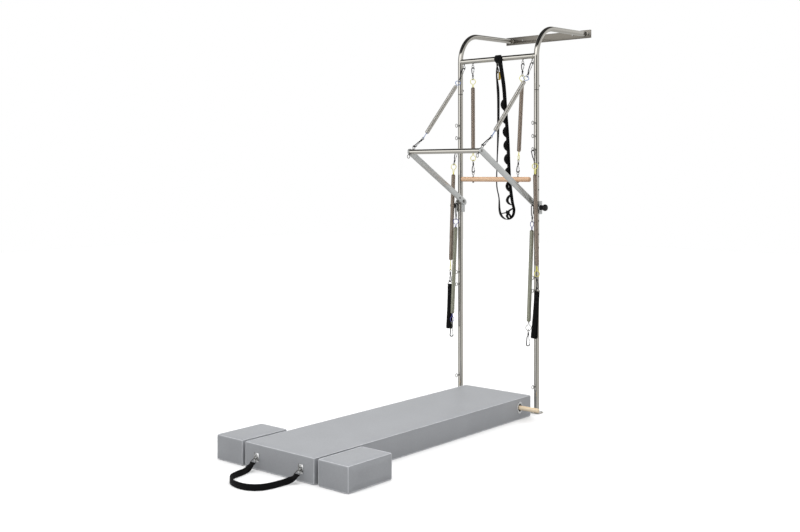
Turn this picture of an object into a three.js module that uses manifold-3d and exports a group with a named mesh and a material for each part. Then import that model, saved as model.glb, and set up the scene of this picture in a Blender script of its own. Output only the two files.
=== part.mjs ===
// Pilates tower unit: a wall-mounted tube tower with a push-through bar, a roll-down bar,
// hanging leg and arm springs and a safety strap, and a T-shaped mat with a handle dowel and a foot strap.
// Millimetres. +Z is up, +Y is towards the wall, and +X is to the right of a person who faces the wall.
// Everything is drawn with x = 0 midway between the uprights, y = 0 on their axes and z = 0 on the floor.
import * as THREE from "three";
import { mergeVertices } from "three/addons/utils/BufferGeometryUtils.js";
import Module from "manifold-3d";

const wasm = await Module();
wasm.setup();

// Clearances
const seatGap = 0.3;
const slipGap = 0.6;
const linkGap = 0.8;
const cutOverrun = 5;

// Tower tubes
const tubeDiameter = 31.75;
const tubeWall = 2.1;
const uprightSpacing = 569;
const seamHeight = 1934;
const spigotWall = 1.8;
const spigotLength = 62;
const spigotOverlap = 30;
const bendStartAboveSeam = 203;
const crossbarAboveBendStart = 3;
const bendRadius = 180;
const tubeEndRise = 10;

// Wall plate and its screws
const wallReach = 578;
const wallPlateLength = 650;
const wallPlateHeight = 52;
const wallPlateThickness = 8;
const wallScrewHeadDiameter = 14;
const wallScrewHeadHeight = 4;
const wallScrewInnerPlace = 192;
const wallScrewEndInset = 13;

// Base plates
const basePlateSize = 64;
const basePlateThickness = 6;
const basePlateChamfer = 8;
const baseScrewHole = 6;
const baseScrewInset = 11;

// Seam screws
const seamScrewAboveSeam = 26;
const seamScrewShank = 6;
const seamScrewHead = 16;
const seamScrewHeadLength = 8;

// Height holes in the uprights: a lower and an upper group, whose starts are shares of the seam's height
const pinHoleDiameter = 10;
const pinHolePitch = 80;
const lowerHolesShare = 0.4705;
const lowerHoleCount = 5;
const upperHolesShare = 0.6908;
const upperHoleCount = 3;
const carriageHole = 4;

// Eye bolts, those of an upright at shares of the seam's height
const eyeRingRadius = 10.5;
const eyeWire = 4;
const eyeShank = 7;
const eyeReach = 41.5;
const crossbarEyeDrop = 36;
const uprightEyeShares = [0.8976, 0.8568, 0.8159, 0.6463, 0.4199, 0.38, 0.0827];
const legEye = 2;
const armEye = 3;
const pushSpringEyePlace = 255;
const rollSpringEyePlace = 187;

// Carriages
const carriageHeight = 78;
const carriagePlate = 3;
const carriageOuterPlate = 4;
const carriageStandOff = 7;
const carriageFrontReach = 12;
const pinBossDiameter = 20;
const pinCollarDiameter = 31;
const pinCollarLength = 14;
const pivotAbovePin = 28;
const pivotBoltDiameter = 10;
const pivotHeadDiameter = 18;
const pivotHeadHeight = 5;

// Pull pins
const pinDiameter = 8.4;
const pinReachInside = 8;
const knobDiameter = 40;
const knobLength = 24;
const knobWaistDiameter = 20;
const knobWaistLength = 8;
const knobEdge = 6;

// Push-through bar
const pushArmLength = 611;
const pushArmAngle = 29.8;
const pushArmWidth = 38;
const pushArmThickness = 8;
const pushArmTail = 28;
const armToUprightGap = 4.1;
const pushBarDiameter = 28.6;
const pushBarWall = 2;
const pushEyeReach = 37;
const pushEyeAngle = 48;
const pushEyeInset = 5.5;

// Roll-down bar
const rollBarDiameter = 30;
const rollBarLength = 506;
const rollBarDrop = 742;
const rollBarFront = 24;
const rollBarEdge = 3;
const rollEyePlace = 167;
const rollEyeAbove = 38;
const rollEyeTip = 8;
const rollEyeCap = 12;

// Springs: wire, coil and the end loop that the snap hooks hold.
// A spring held at both ends has a coil that is a share of the way between its two eyes' rings.
const springWire = 3.2;
const springCoilDiameter = 25.6;
const springSides = 5;
const curlSteps = 8;
const curlsPerSpring = 7;
const endLoopRadius = 13;
const endLoopSteps = 8;
const endLoopOpening = 72;
const pushNeck = 17;
const pushSag = 13.5;
const rollNeck = 24;
const armNeck = 24;
const legNeck = 36;
const swellSteps = 3;
const rollCoilShare = 0.636;
const pushCoilShare = 0.611;
const longCoilLength = 545;
const closestWraps = 2;

// Snap hooks
const hookRingRadius = 9;
const hookWire = 4.4;
const swivelRingRadius = 6.5;
const swivelWire = 3.6;
const swivelNeck = 8;

// Faces round a section: tubes, pins and bores, small bores and necks, and the steps of a ring
const tubeSteps = 16;
const pinSteps = 12;
const screwSteps = 10;
const boreSteps = 8;
const neckSteps = 6;
const wireSteps = 5;
const ringSteps = 8;
const ringSides = 4;
const bendSteps = 6;
const copeSteps = 2;
const copeAngle = 20;

// Leg springs hang from the third eye and lean round the carriage
const legHookLength = 82;
const legHookOut = 19;
const legHookForward = 5;
const legCoilOut = 20;
const legCoilForward = 8;
const legSnapLength = 72;

// Arm springs hang from the fourth eye and lean on the eye below it
const armHookLength = 96;
const armSnapLength = 90;
const armLean = 3.6;

// Foot loops of webbing, each sewn round a D-ring
const strapThickness = 3;
const loopWidth = 30;
const loopLength = 278;
const loopTopSpread = 9;
const loopWaistSpread = 14;
const loopFootSpread = 27;
const loopForward = 2.8;
const loopInward = 3.6;
const loopToeShares = [0.33, 0.25];
const ringBarWidth = 40;
const ringBarWire = 4;
const ringApexSpread = 8;
const ringRise = 22;

// Safety strap over the crossbar: the middle of its webbing, measured from the crossbar's axis.
// Each strand twists from the crossbar's direction at the top to face away from the mat's corner
// below: the rear one soon, the front one late.
const safetyWidth = 30;
const safetyFacing = 40;
const twistStart = 130;
const rearTwistLength = 400;
const frontTwistLength = 740;
const frontTwistPower = 2;
const strandsMeet = 20;
const safetyMiddle = [
  [-12, 18.6, 0], [-4, 14.4, 14.4], [9, 0, 19.8], [22, -14.4, 14.4], [31, -18.6, 0],
  [32, -10, -45], [32, 22, -169], [38, 32, -310], [49, 41, -500], [56, 48, -724], [69, 58, -871],
  [78, 66, -930], [70, 59, -972], [46, 39, -989], [22, 19, -972], [10, 9, -932],
  [4, 11, -857], [-10, 7, -779], [-9, 8, -652], [1, 6, -448], [4, 3, -220], [-11, 16, -30],
];
const safetyFrontPoint = 4;
const pocketStart = 288;
const pocketPitch = 84;
const pocketCount = 10;
const pocketDepth = 26;
const pocketMouth = 66;
const pocketStopShares = [0, 0.22, 0.78, 1];
const pocketOutShares = [0, 1, 1, 0];
const clipPocketDrop = 70;
const clipPocketMouth = 44;
const clipPocketDepth = 10;
const clipLength = 50;
const clipWidth = 43;
const clipCorner = 4;
const clipRise = 11.5;
const clipWire = 5;
const pocketInset = 1.5;

// Mat and the two blocks that make its T
const matShift = 66;
const matWidth = 478;
const matLength = 1806;
const matThickness = 127;
const matSetback = 91;
const blockWidth = 196;
const blockLength = 305;
const blockThickness = 128;
const blockGap = 18;
const cushionCrown = 5;
const cushionSideDraw = 4;
const cushionCorner = 12;
const cushionEdge = 9;
const cushionEdgeShare = 0.08;
const cushionLevelShares = [0, cushionEdgeShare, 0.5, 1 - cushionEdgeShare, 1];
const cushionCrownShare = 0.55;
const cushionPinch = 3;
const cushionColumns = 4;

// Handle dowel through the mat
const dowelDiameter = 25;
const dowelReach = 128;
const dowelSetback = 119;
const dowelHeight = 70;
const dowelEdge = 3;
const dowelBoreGap = 0.5;
const escutcheonWidth = 70;
const escutcheonHeight = 52;
const escutcheonThickness = 2.5;
const escutcheonSinkShare = 0.2;

// Foot strap at the front end of the mat: two plates with eyes, a triangular ring in each,
// and webbing that lies flat at the rings and stands on its edge on the floor between them
const anchorInset = 87;
const anchorHeight = 61.5;
const anchorSinkShare = 0.58;
const anchorPlateWidth = 34;
const anchorPlateHeight = 44;
const anchorPlateThickness = 3;
const anchorEyeRadius = 8;
const anchorEyeWire = 4.5;
const anchorEyeReach = 9;
const triangleWire = 4;
const triangleApexSpread = 12;
const triangleBar = 42;
const triangleForward = 17;
const triangleFall = 20;
const footStrapThickness = 5;
const footStrapWidth = 31;
const footStrapFloorGap = 0.5;
const footStrapRoute = [
  [-150, -48, 27], [-144, -70, 19.5], [-135, -104, 16], [-128, -150, 16], [-112, -196, 16], [-70, -236, 16],
  [-6, -256, 16], [58, -252, 16], [104, -222, 16], [126, -176, 16], [134, -104, 16],
  [141, -70, 19.5], [149, -48, 27],
];
const footTwistShares = [0, 0.4, 0.85, 1];

// Derived places
const tubeRadius = tubeDiameter / 2;
const boreRadius = tubeRadius - tubeWall;
const uprightX = uprightSpacing / 2;
const sides = { left: -1, right: 1 };
const bendStartHeight = seamHeight + bendStartAboveSeam;
const crossbarHeight = bendStartHeight + crossbarAboveBendStart;
const lowerHolesStart = seamHeight * lowerHolesShare;
const upperHolesStart = seamHeight * upperHolesShare;
const uprightEyeHeights = uprightEyeShares.map((share) => seamHeight * share);
const rollBarHeight = crossbarHeight - rollBarDrop;
const pinHeight = lowerHolesStart + carriageHole * pinHolePitch;
const pivotHeight = pinHeight + pivotAbovePin;
const eyeRadius = eyeWire / 2;
const hookRadius = hookWire / 2;
const swivelRadius = swivelWire / 2;
const springRadius = springWire / 2;
const coilRadius = (springCoilDiameter - springWire) / 2;
const armOuterX = uprightX - tubeRadius - armToUprightGap;
const armInnerX = armOuterX - pushArmThickness;
const armSlope = THREE.MathUtils.degToRad(pushArmAngle);
const wallPlateFront = wallReach - wallPlateThickness;
const wallPlateMiddle = bendStartHeight + bendRadius + tubeEndRise;
const matBack = -matSetback;
const matFront = matBack - matLength;
const anchorFace = matFront + cushionSideDraw * anchorSinkShare - seatGap;
const anchorSpread = matWidth / 2 - anchorInset;
const hookLift = eyeRadius + hookRadius + linkGap;
const loopLift = swivelRadius + springRadius + linkGap;
const crossbarEyeHeight = crossbarHeight - crossbarEyeDrop;
const sideways = new THREE.Vector3(1, 0, 0);

// Finishes
const finish = (color, roughness, metalness) => ({ color, roughness, metalness });
const steel = finish(0xb4b2ac, 0.25, 1);
const brushed = finish(0xbfc0bf, 0.45, 1);
const plated = finish(0xa8a9ab, 0.3, 1);
const springSteel = finish(0x98938a, 0.4, 1);
const blackPlastic = finish(0x1b1b1c, 0.5, 0);
const webbing = finish(0x17171a, 0.9, 0);
const vinyl = finish(0xb1b2b6, 0.55, 0);
const maple = finish(0xd9a97c, 0.5, 0);
const brass = finish(0xc9a94e, 0.35, 1);

// A closed mesh as a solid that can be cut and joined
function solidOf(geometry) {
  const bare = geometry.clone();
  bare.deleteAttribute("normal");
  bare.deleteAttribute("uv");
  const merged = mergeVertices(bare);
  return new wasm.Manifold(
    new wasm.Mesh({
      numProp: 3,
      vertProperties: merged.attributes.position.array,
      triVerts: new Uint32Array(merged.index.array),
    }),
  );
}

function geometryOf(solid) {
  const mesh = solid.getMesh();
  const geometry = new THREE.BufferGeometry();
  geometry.setAttribute("position", new THREE.BufferAttribute(mesh.vertProperties, 3));
  geometry.setIndex(new THREE.BufferAttribute(mesh.triVerts, 1));
  geometry.computeVertexNormals();
  return geometry;
}

function joined(...geometries) {
  return geometryOf(geometries.map(solidOf).reduce((whole, piece) => whole.add(piece)));
}

function cut(geometry, ...tools) {
  return geometryOf(tools.map(solidOf).reduce((whole, tool) => whole.subtract(tool), solidOf(geometry)));
}

// A turned piece about Z, from [radius, height] pairs that run up the outside
function turned(profile, segments = tubeSteps) {
  const points = profile.map(([radius, height]) => new THREE.Vector2(radius, height));
  return new THREE.LatheGeometry(points, segments).rotateX(Math.PI / 2);
}

// A round bar from one point to another
function rod(from, to, radius, segments = pinSteps) {
  const start = new THREE.Vector3(...from);
  const end = new THREE.Vector3(...to);
  const along = end.clone().sub(start);
  const bar = new THREE.CylinderGeometry(radius, radius, along.length(), segments);
  const turn = new THREE.Quaternion().setFromUnitVectors(
    new THREE.Vector3(0, 1, 0),
    along.clone().normalize(),
  );
  bar.applyQuaternion(turn);
  return bar.translate(...start.add(end).divideScalar(2));
}

function box(width, depth, height, x, y, z) {
  return new THREE.BoxGeometry(width, depth, height).translate(x, y, z);
}

// A ring in the plane square to the named axis
function ring(radius, wire, axis, x, y, z, steps = ringSteps, wireSides = ringSides) {
  const torus = new THREE.TorusGeometry(radius, wire / 2, wireSides, steps);
  if (axis === "x") torus.rotateY(Math.PI / 2);
  if (axis === "y") torus.rotateX(Math.PI / 2);
  return torus.translate(x, y, z);
}

// A section carried along points. Its first axis keeps to one direction, or to one for each point,
// and is carried on from point to point where none is given.
function swept(points, section, closed, across) {
  const count = points.length;
  const size = section.length;
  const positions = [];
  const index = [];
  let side = null;
  points.forEach((point, i) => {
    const tangent = tangentAt(points, i, closed);
    const wanted = Array.isArray(across) ? across[i] : across || side || anyAcross(tangent);
    const u = wanted.clone().addScaledVector(tangent, -wanted.dot(tangent)).normalize();
    const v = tangent.clone().cross(u);
    side = u;
    section.forEach(([a, b]) => {
      const place = point.clone().addScaledVector(u, a).addScaledVector(v, b);
      positions.push(place.x, place.y, place.z);
    });
  });
  const spans = closed ? count : count - 1;
  for (let i = 0; i < spans; i++) {
    for (let j = 0; j < size; j++) {
      const a = i * size + j;
      const b = i * size + ((j + 1) % size);
      const c = ((i + 1) % count) * size + j;
      const d = ((i + 1) % count) * size + ((j + 1) % size);
      index.push(a, b, d, a, d, c);
    }
  }
  if (!closed) {
    const last = (count - 1) * size;
    for (let j = 1; j < size - 1; j++) {
      index.push(0, j + 1, j);
      index.push(last, last + j, last + j + 1);
    }
  }
  const geometry = new THREE.BufferGeometry();
  geometry.setAttribute("position", new THREE.Float32BufferAttribute(positions, 3));
  geometry.setIndex(index);
  geometry.computeVertexNormals();
  return geometry;
}

function tangentAt(points, i, closed) {
  const count = points.length;
  const before = points[closed ? (i + count - 1) % count : Math.max(i - 1, 0)];
  const after = points[closed ? (i + 1) % count : Math.min(i + 1, count - 1)];
  return after.clone().sub(before).normalize();
}

function anyAcross(tangent) {
  const reference = new THREE.Vector3(1, 0, 0);
  if (Math.abs(tangent.y) < Math.abs(tangent.x)) reference.set(0, 1, 0);
  return reference.cross(tangent).normalize();
}

function roundSection(radius, count) {
  return Array.from({ length: count }, (_, i) => {
    const turn = (2 * Math.PI * i) / count;
    return [radius * Math.cos(turn), radius * Math.sin(turn)];
  });
}

function flatSection(width, thickness) {
  return [
    [-width / 2, -thickness / 2],
    [width / 2, -thickness / 2],
    [width / 2, thickness / 2],
    [-width / 2, thickness / 2],
  ];
}

function eyeBolt(base, centre) {
  const from = new THREE.Vector3(...base);
  const to = new THREE.Vector3(...centre);
  const reach = to.clone().sub(from).normalize();
  const neck = to.clone().addScaledVector(reach, -eyeRingRadius);
  return joined(
    rod(base, neck.toArray(), eyeShank / 2, neckSteps),
    ring(eyeRingRadius, eyeWire, "x", ...centre),
  );
}

const tower = new THREE.Group();

function add(name, geometry, look, group = tower) {
  const material = new THREE.MeshStandardMaterial(look);
  const mesh = new THREE.Mesh(geometry, material);
  mesh.name = name;
  group.add(mesh);
  return mesh;
}

// Upright: a tube with a row of pin holes on its outer side, a spigot on top and its eye bolts
function uprightGeometry(side) {
  const foot = basePlateThickness + seatGap;
  const spigotOuter = boreRadius - slipGap / 2;
  const spigotInner = spigotOuter - spigotWall;
  const profile = [
    [boreRadius, foot],
    [tubeRadius, foot],
    [tubeRadius, seamHeight],
    [spigotOuter, seamHeight],
    [spigotOuter, seamHeight + spigotLength],
    [spigotInner, seamHeight + spigotLength],
    [spigotInner, seamHeight - spigotOverlap],
    [boreRadius, seamHeight - spigotOverlap],
    [boreRadius, foot],
  ];
  const holeHeights = [
    ...Array.from({ length: lowerHoleCount }, (_, i) => lowerHolesStart + i * pinHolePitch),
    ...Array.from({ length: upperHoleCount }, (_, i) => upperHolesStart + i * pinHolePitch),
  ];
  const holes = holeHeights.map((height) =>
    rod([0, 0, height], [side * (tubeRadius + cutOverrun), 0, height], pinHoleDiameter / 2, boreSteps),
  );
  const eyes = uprightEyeHeights.map((height) =>
    eyeBolt([0, -boreRadius - tubeWall / 2, height], [0, -eyeReach, height]),
  );
  return joined(cut(turned(profile), ...holes), ...eyes);
}

// Top bend: straight up from the seam, round to the wall plate, rising slightly
function bendGeometry() {
  const seam = seamHeight + seatGap;
  const run = wallPlateFront - seatGap - bendRadius;
  const rise = Math.atan2(tubeEndRise, run);
  const points = [new THREE.Vector3(0, 0, seam), new THREE.Vector3(0, 0, bendStartHeight)];
  for (let i = 1; i <= bendSteps; i++) {
    const turn = ((Math.PI / 2 - rise) * i) / bendSteps;
    points.push(
      new THREE.Vector3(0, bendRadius * (1 - Math.cos(turn)), bendStartHeight + bendRadius * Math.sin(turn)),
    );
  }
  points.push(new THREE.Vector3(0, wallPlateFront - seatGap, wallPlateMiddle));
  const outer = swept(points, roundSection(tubeRadius, tubeSteps), false, sideways);
  const core = lengthened(points, cutOverrun);
  const inner = swept(core, roundSection(boreRadius, tubeSteps), false, sideways);
  const trimmed = box(
    2 * tubeDiameter, 2 * tubeDiameter, 2 * tubeDiameter,
    0, wallPlateFront - seatGap + tubeDiameter, wallPlateMiddle,
  );
  const screwHeight = seamHeight + seamScrewAboveSeam;
  const screwHole = rod(
    [0, 0, screwHeight],
    [0, tubeDiameter, screwHeight],
    seamScrewShank / 2 + slipGap,
    boreSteps,
  );
  return cut(outer, inner, trimmed, screwHole);
}

function lengthened(points, by) {
  const copy = points.map((point) => point.clone());
  const last = copy.length - 1;
  copy[0].addScaledVector(copy[1].clone().sub(copy[0]).normalize(), -by);
  copy[last].addScaledVector(copy[last].clone().sub(copy[last - 1]).normalize(), by);
  return copy;
}

// Crossbar: its tube, coped round the two bends, and the five eyes under it
function crossbarGeometry() {
  const reach = uprightX - seatGap;
  const bar = rod([-reach, 0, crossbarHeight], [reach, 0, crossbarHeight], tubeRadius, tubeSteps);
  const copeSection = roundSection(tubeRadius + slipGap + seatGap, tubeSteps);
  const copes = Object.values(sides).map((side) =>
    swept(copePath(side * uprightX), copeSection, false, sideways),
  );
  const places = [-pushSpringEyePlace, -rollSpringEyePlace, 0, rollSpringEyePlace, pushSpringEyePlace];
  const eyes = places.map((x) =>
    eyeBolt([x, 0, crossbarHeight - boreRadius], [x, 0, crossbarEyeHeight]),
  );
  const bore = rod([-uprightX, 0, crossbarHeight], [uprightX, 0, crossbarHeight], boreRadius, tubeSteps);
  return joined(cut(bar, bore, ...copes), ...eyes);
}

// The stretch of the bend's middle line that the crossbar meets
function copePath(x) {
  const path = [new THREE.Vector3(x, 0, bendStartHeight - tubeDiameter)];
  for (let i = 0; i <= copeSteps; i++) {
    const turn = (THREE.MathUtils.degToRad(copeAngle) * i) / copeSteps;
    path.push(
      new THREE.Vector3(x, bendRadius * (1 - Math.cos(turn)), bendStartHeight + bendRadius * Math.sin(turn)),
    );
  }
  return path;
}

// Wall plate: a flat bar with four pan-head screws
function wallPlateGeometry() {
  const middle = wallPlateFront + wallPlateThickness / 2;
  const plate = box(wallPlateLength, wallPlateThickness, wallPlateHeight, 0, middle, wallPlateMiddle);
  const places = [wallScrewInnerPlace, wallPlateLength / 2 - wallScrewEndInset];
  const heads = places.flatMap((place) =>
    Object.values(sides).map((side) =>
      rod(
        [side * place, wallPlateFront - wallScrewHeadHeight, wallPlateMiddle],
        [side * place, middle, wallPlateMiddle],
        wallScrewHeadDiameter / 2,
        neckSteps,
      ),
    ),
  );
  return joined(plate, ...heads);
}

function basePlateGeometry() {
  const half = basePlateSize / 2;
  const corner = half - basePlateChamfer;
  const outline = new THREE.Shape([
    new THREE.Vector2(corner, -half),
    new THREE.Vector2(half, -corner),
    new THREE.Vector2(half, corner),
    new THREE.Vector2(corner, half),
    new THREE.Vector2(-corner, half),
    new THREE.Vector2(-half, corner),
    new THREE.Vector2(-half, -corner),
    new THREE.Vector2(-corner, -half),
  ]);
  const plate = new THREE.ExtrudeGeometry(outline, { depth: basePlateThickness, bevelEnabled: false });
  const place = half - baseScrewInset;
  const holes = [[place, place], [-place, place], [place, -place], [-place, -place]].map(([x, y]) =>
    rod([x, y, -cutOverrun], [x, y, basePlateThickness + cutOverrun], baseScrewHole / 2, neckSteps),
  );
  return cut(plate, ...holes);
}

// Seam screw: a thumb screw through the back of the bend tube onto the spigot
function seamScrewGeometry() {
  const tip = boreRadius - slipGap / 2 + seatGap;
  const seat = tubeRadius + seatGap;
  const profile = [
    [0, tip],
    [seamScrewShank / 2, tip],
    [seamScrewShank / 2, seat],
    [seamScrewHead / 2, seat],
    [seamScrewHead / 2, seat + seamScrewHeadLength],
    [0, seat + seamScrewHeadLength],
  ];
  return turned(profile, screwSteps).rotateX(-Math.PI / 2).translate(0, 0, seamHeight + seamScrewAboveSeam);
}

// Carriage: a channel round the back of the upright, open at the front so that it passes the eyes.
// Its outer plate stands off the tube on the pin's boss, and carries the pin's collar.
function carriageGeometry() {
  const middle = pinHeight;
  const inner = -tubeRadius - slipGap;
  const outer = tubeRadius + carriageStandOff;
  const back = tubeRadius + slipGap;
  const width = outer + carriageOuterPlate - (inner - carriagePlate);
  const depth = back + carriagePlate + carriageFrontReach;
  const innerPlate = box(
    carriagePlate, depth, carriageHeight,
    inner - carriagePlate / 2, back + carriagePlate - depth / 2, middle,
  );
  const outerPlate = box(
    carriageOuterPlate, depth, carriageHeight,
    outer + carriageOuterPlate / 2, back + carriagePlate - depth / 2, middle,
  );
  const web = box(
    width, carriagePlate, carriageHeight,
    inner - carriagePlate + width / 2, back + carriagePlate / 2, middle,
  );
  const boss = rod(
    [tubeRadius - tubeWall / 2, 0, pinHeight],
    [outer + carriageOuterPlate / 2, 0, pinHeight],
    pinBossDiameter / 2,
  );
  const tubeClear = rod(
    [0, 0, pinHeight - pinBossDiameter],
    [0, 0, pinHeight + pinBossDiameter],
    tubeRadius + slipGap,
    tubeSteps,
  );
  const collarStart = outer + carriageOuterPlate / 2;
  const collar = rod(
    [collarStart, 0, pinHeight],
    [outer + carriageOuterPlate + pinCollarLength, 0, pinHeight],
    pinCollarDiameter / 2,
  );
  const bore = rod(
    [0, 0, pinHeight],
    [2 * knobDiameter, 0, pinHeight],
    pinDiameter / 2 + slipGap,
    boreSteps,
  );
  const pivotBore = rod(
    [-knobDiameter, 0, pivotHeight],
    [0, 0, pivotHeight],
    pivotBoltDiameter / 2 + slipGap,
  );
  return cut(joined(innerPlate, outerPlate, web, cut(boss, tubeClear), collar), bore, pivotBore);
}

// Pull pin along +X from inside the upright out to its knob
function pullPinGeometry() {
  const start = tubeRadius - tubeWall - pinReachInside;
  const collarEnd = tubeRadius + carriageStandOff + carriageOuterPlate + pinCollarLength + seatGap;
  const waistEnd = collarEnd + knobWaistLength;
  const end = waistEnd + knobLength;
  const profile = [
    [0, start],
    [pinDiameter / 2, start],
    [pinDiameter / 2, collarEnd],
    [knobWaistDiameter / 2, collarEnd],
    [knobWaistDiameter / 2, waistEnd],
    [knobDiameter / 2, waistEnd + knobEdge],
    [knobDiameter / 2, end - knobEdge],
    [knobDiameter / 2 - knobEdge, end],
    [0, end],
  ];
  return turned(profile, pinSteps).rotateY(Math.PI / 2).translate(0, 0, pinHeight);
}

// Pivot bolt: its head inside the arm, its shank through the arm and the carriage's inner plate
function pivotBoltGeometry() {
  const plateInner = uprightX - tubeRadius - slipGap - carriagePlate;
  const head = armInnerX - seatGap - pivotHeadHeight;
  const shankStart = [head + pivotHeadHeight / 2, 0, pivotHeight];
  const shankEnd = [plateInner + carriagePlate, 0, pivotHeight];
  return joined(
    rod([head, 0, pivotHeight], [armInnerX - seatGap, 0, pivotHeight], pivotHeadDiameter / 2),
    rod(shankStart, shankEnd, pivotBoltDiameter / 2, screwSteps),
  );
}

// Push-through bar: drawn in its own frame with the pivot at the origin and the arm along -Y
function pushArmGeometry() {
  const half = pushArmWidth / 2;
  const outline = new THREE.Shape();
  outline.absarc(half - pushArmTail, 0, half, Math.PI / 2, (3 * Math.PI) / 2, false);
  outline.absarc(pushArmLength, 0, half, -Math.PI / 2, Math.PI / 2, false);
  const bore = new THREE.Path();
  bore.absarc(0, 0, pivotBoltDiameter / 2 + slipGap, 0, 2 * Math.PI);
  outline.holes.push(bore);
  const arm = new THREE.ExtrudeGeometry(outline, {
    depth: pushArmThickness,
    bevelEnabled: false,
    curveSegments: boreSteps,
  });
  // The outline's X becomes -Y and its thickness runs along X
  return arm.rotateZ(-Math.PI / 2).rotateY(Math.PI / 2);
}

function pushBarGeometry() {
  const reach = armInnerX - seatGap;
  const radius = pushBarDiameter / 2;
  const bar = cut(
    rod([-reach, -pushArmLength, 0], [reach, -pushArmLength, 0], radius, tubeSteps),
    rod([-uprightX, -pushArmLength, 0], [uprightX, -pushArmLength, 0], radius - pushBarWall, tubeSteps),
  );
  const angle = THREE.MathUtils.degToRad(pushEyeAngle) + armSlope;
  const eyes = Object.values(sides).flatMap((side) =>
    [1, -1].map((way) => {
      const x = side * (reach - pushEyeInset);
      const point = (distance) => [
        x,
        -pushArmLength + way * distance * Math.cos(angle),
        way * distance * Math.sin(angle),
      ];
      return eyeBolt(point(radius - pushBarWall / 2), point(pushEyeReach));
    }),
  );
  return joined(bar, ...eyes);
}

// Where the eye on top of the push-through bar lies at rest
function pushEyeCentre(side) {
  const tilt = THREE.MathUtils.degToRad(pushEyeAngle);
  return new THREE.Vector3(
    side * (armInnerX - seatGap - pushEyeInset),
    -pushArmLength * Math.cos(armSlope) + pushEyeReach * Math.cos(tilt),
    pivotHeight + pushArmLength * Math.sin(armSlope) + pushEyeReach * Math.sin(tilt),
  );
}

// Snap hook along -Z. Its gate ring holds a wire at the origin and its swivel ring one at the far end.
function snapHookGeometry(length, gateAxis = "y") {
  const gateCentre = hookLift - hookRingRadius;
  const swivelCentre = -length + swivelRingRadius;
  return joined(
    ring(hookRingRadius, hookWire, gateAxis, 0, 0, gateCentre),
    rod(
      [0, 0, gateCentre - hookRingRadius],
      [0, 0, swivelCentre + swivelRingRadius],
      swivelNeck / 2,
      neckSteps,
    ),
    ring(swivelRingRadius, swivelWire, "x", 0, 0, swivelCentre),
  );
}

// How far a spring reaches between the two wires that hold its end loops
function springSpan(coilLength, neck) {
  return coilLength + 2 * (neck + 2 * endLoopRadius - loopLift);
}

// Spring along -Z from the wire at the origin that holds its top loop: one wire through loop, coil and loop
function springPoints(coilLength, neck) {
  const loop = (centre, way) =>
    Array.from({ length: endLoopSteps + 1 }, (_, i) => {
      const open = THREE.MathUtils.degToRad(endLoopOpening);
      const turn = open + ((2 * Math.PI - open) * i) / endLoopSteps;
      return new THREE.Vector3(
        way * endLoopRadius * Math.sin(turn),
        0,
        centre - way * endLoopRadius * Math.cos(turn),
      );
    });
  const firstCentre = loopLift - endLoopRadius;
  const lastCentre = -springSpan(coilLength, neck) - firstCentre;
  const top = firstCentre - endLoopRadius - neck;
  const points = loop(firstCentre, 1);
  points.push(new THREE.Vector3(0, 0, top));
  const count = curlsPerSpring * curlSteps;
  for (let i = 1; i < count; i++) {
    const turn = (2 * Math.PI * i) / curlSteps;
    const swell = Math.min(1, i / swellSteps, (count - i) / swellSteps);
    points.push(
      new THREE.Vector3(
        coilRadius * swell * Math.cos(turn),
        coilRadius * swell * Math.sin(turn),
        top - (coilLength * i) / count,
      ),
    );
  }
  points.push(new THREE.Vector3(0, 0, top - coilLength));
  points.push(...loop(lastCentre, -1).reverse());
  return points;
}

// The least gap between two stretches of one wire, told on its points
function leastGap(points, wire) {
  let least = Infinity;
  for (let i = 0; i < points.length; i++) {
    let travelled = 0;
    for (let j = i + 1; j < points.length; j++) {
      travelled += points[j].distanceTo(points[j - 1]);
      if (travelled > closestWraps * Math.PI * wire) {
        least = Math.min(least, points[i].distanceTo(points[j]) - wire);
      }
    }
  }
  return least;
}

function springGeometry(coilLength, neck) {
  const points = springPoints(coilLength, neck);
  const gap = leastGap(points, springWire);
  console.log("coil of", coilLength.toFixed(1), "mm: least gap to itself", gap.toFixed(2), "mm");
  return swept(points, roundSection(springRadius, springSides), false);
}

// A group for what hangs in a ring: its origin is on the ring's wire, its -Z runs along `way`,
// and its XZ plane crosses the ring's wire squarely.
function hungFrom(centre, normal, radius, way) {
  const pull = way.clone().addScaledVector(normal, -way.dot(normal)).normalize();
  const up = way.clone().negate().normalize();
  const wire = pull.clone().negate().cross(normal).normalize();
  const group = new THREE.Group();
  group.position.copy(centre).addScaledVector(pull, radius);
  group.quaternion.setFromRotationMatrix(new THREE.Matrix4().makeBasis(wire.clone().cross(up), wire, up));
  tower.add(group);
  return group;
}

function alongGroup(group, distance) {
  return new THREE.Vector3(0, 0, -distance).applyQuaternion(group.quaternion).add(group.position);
}

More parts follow.
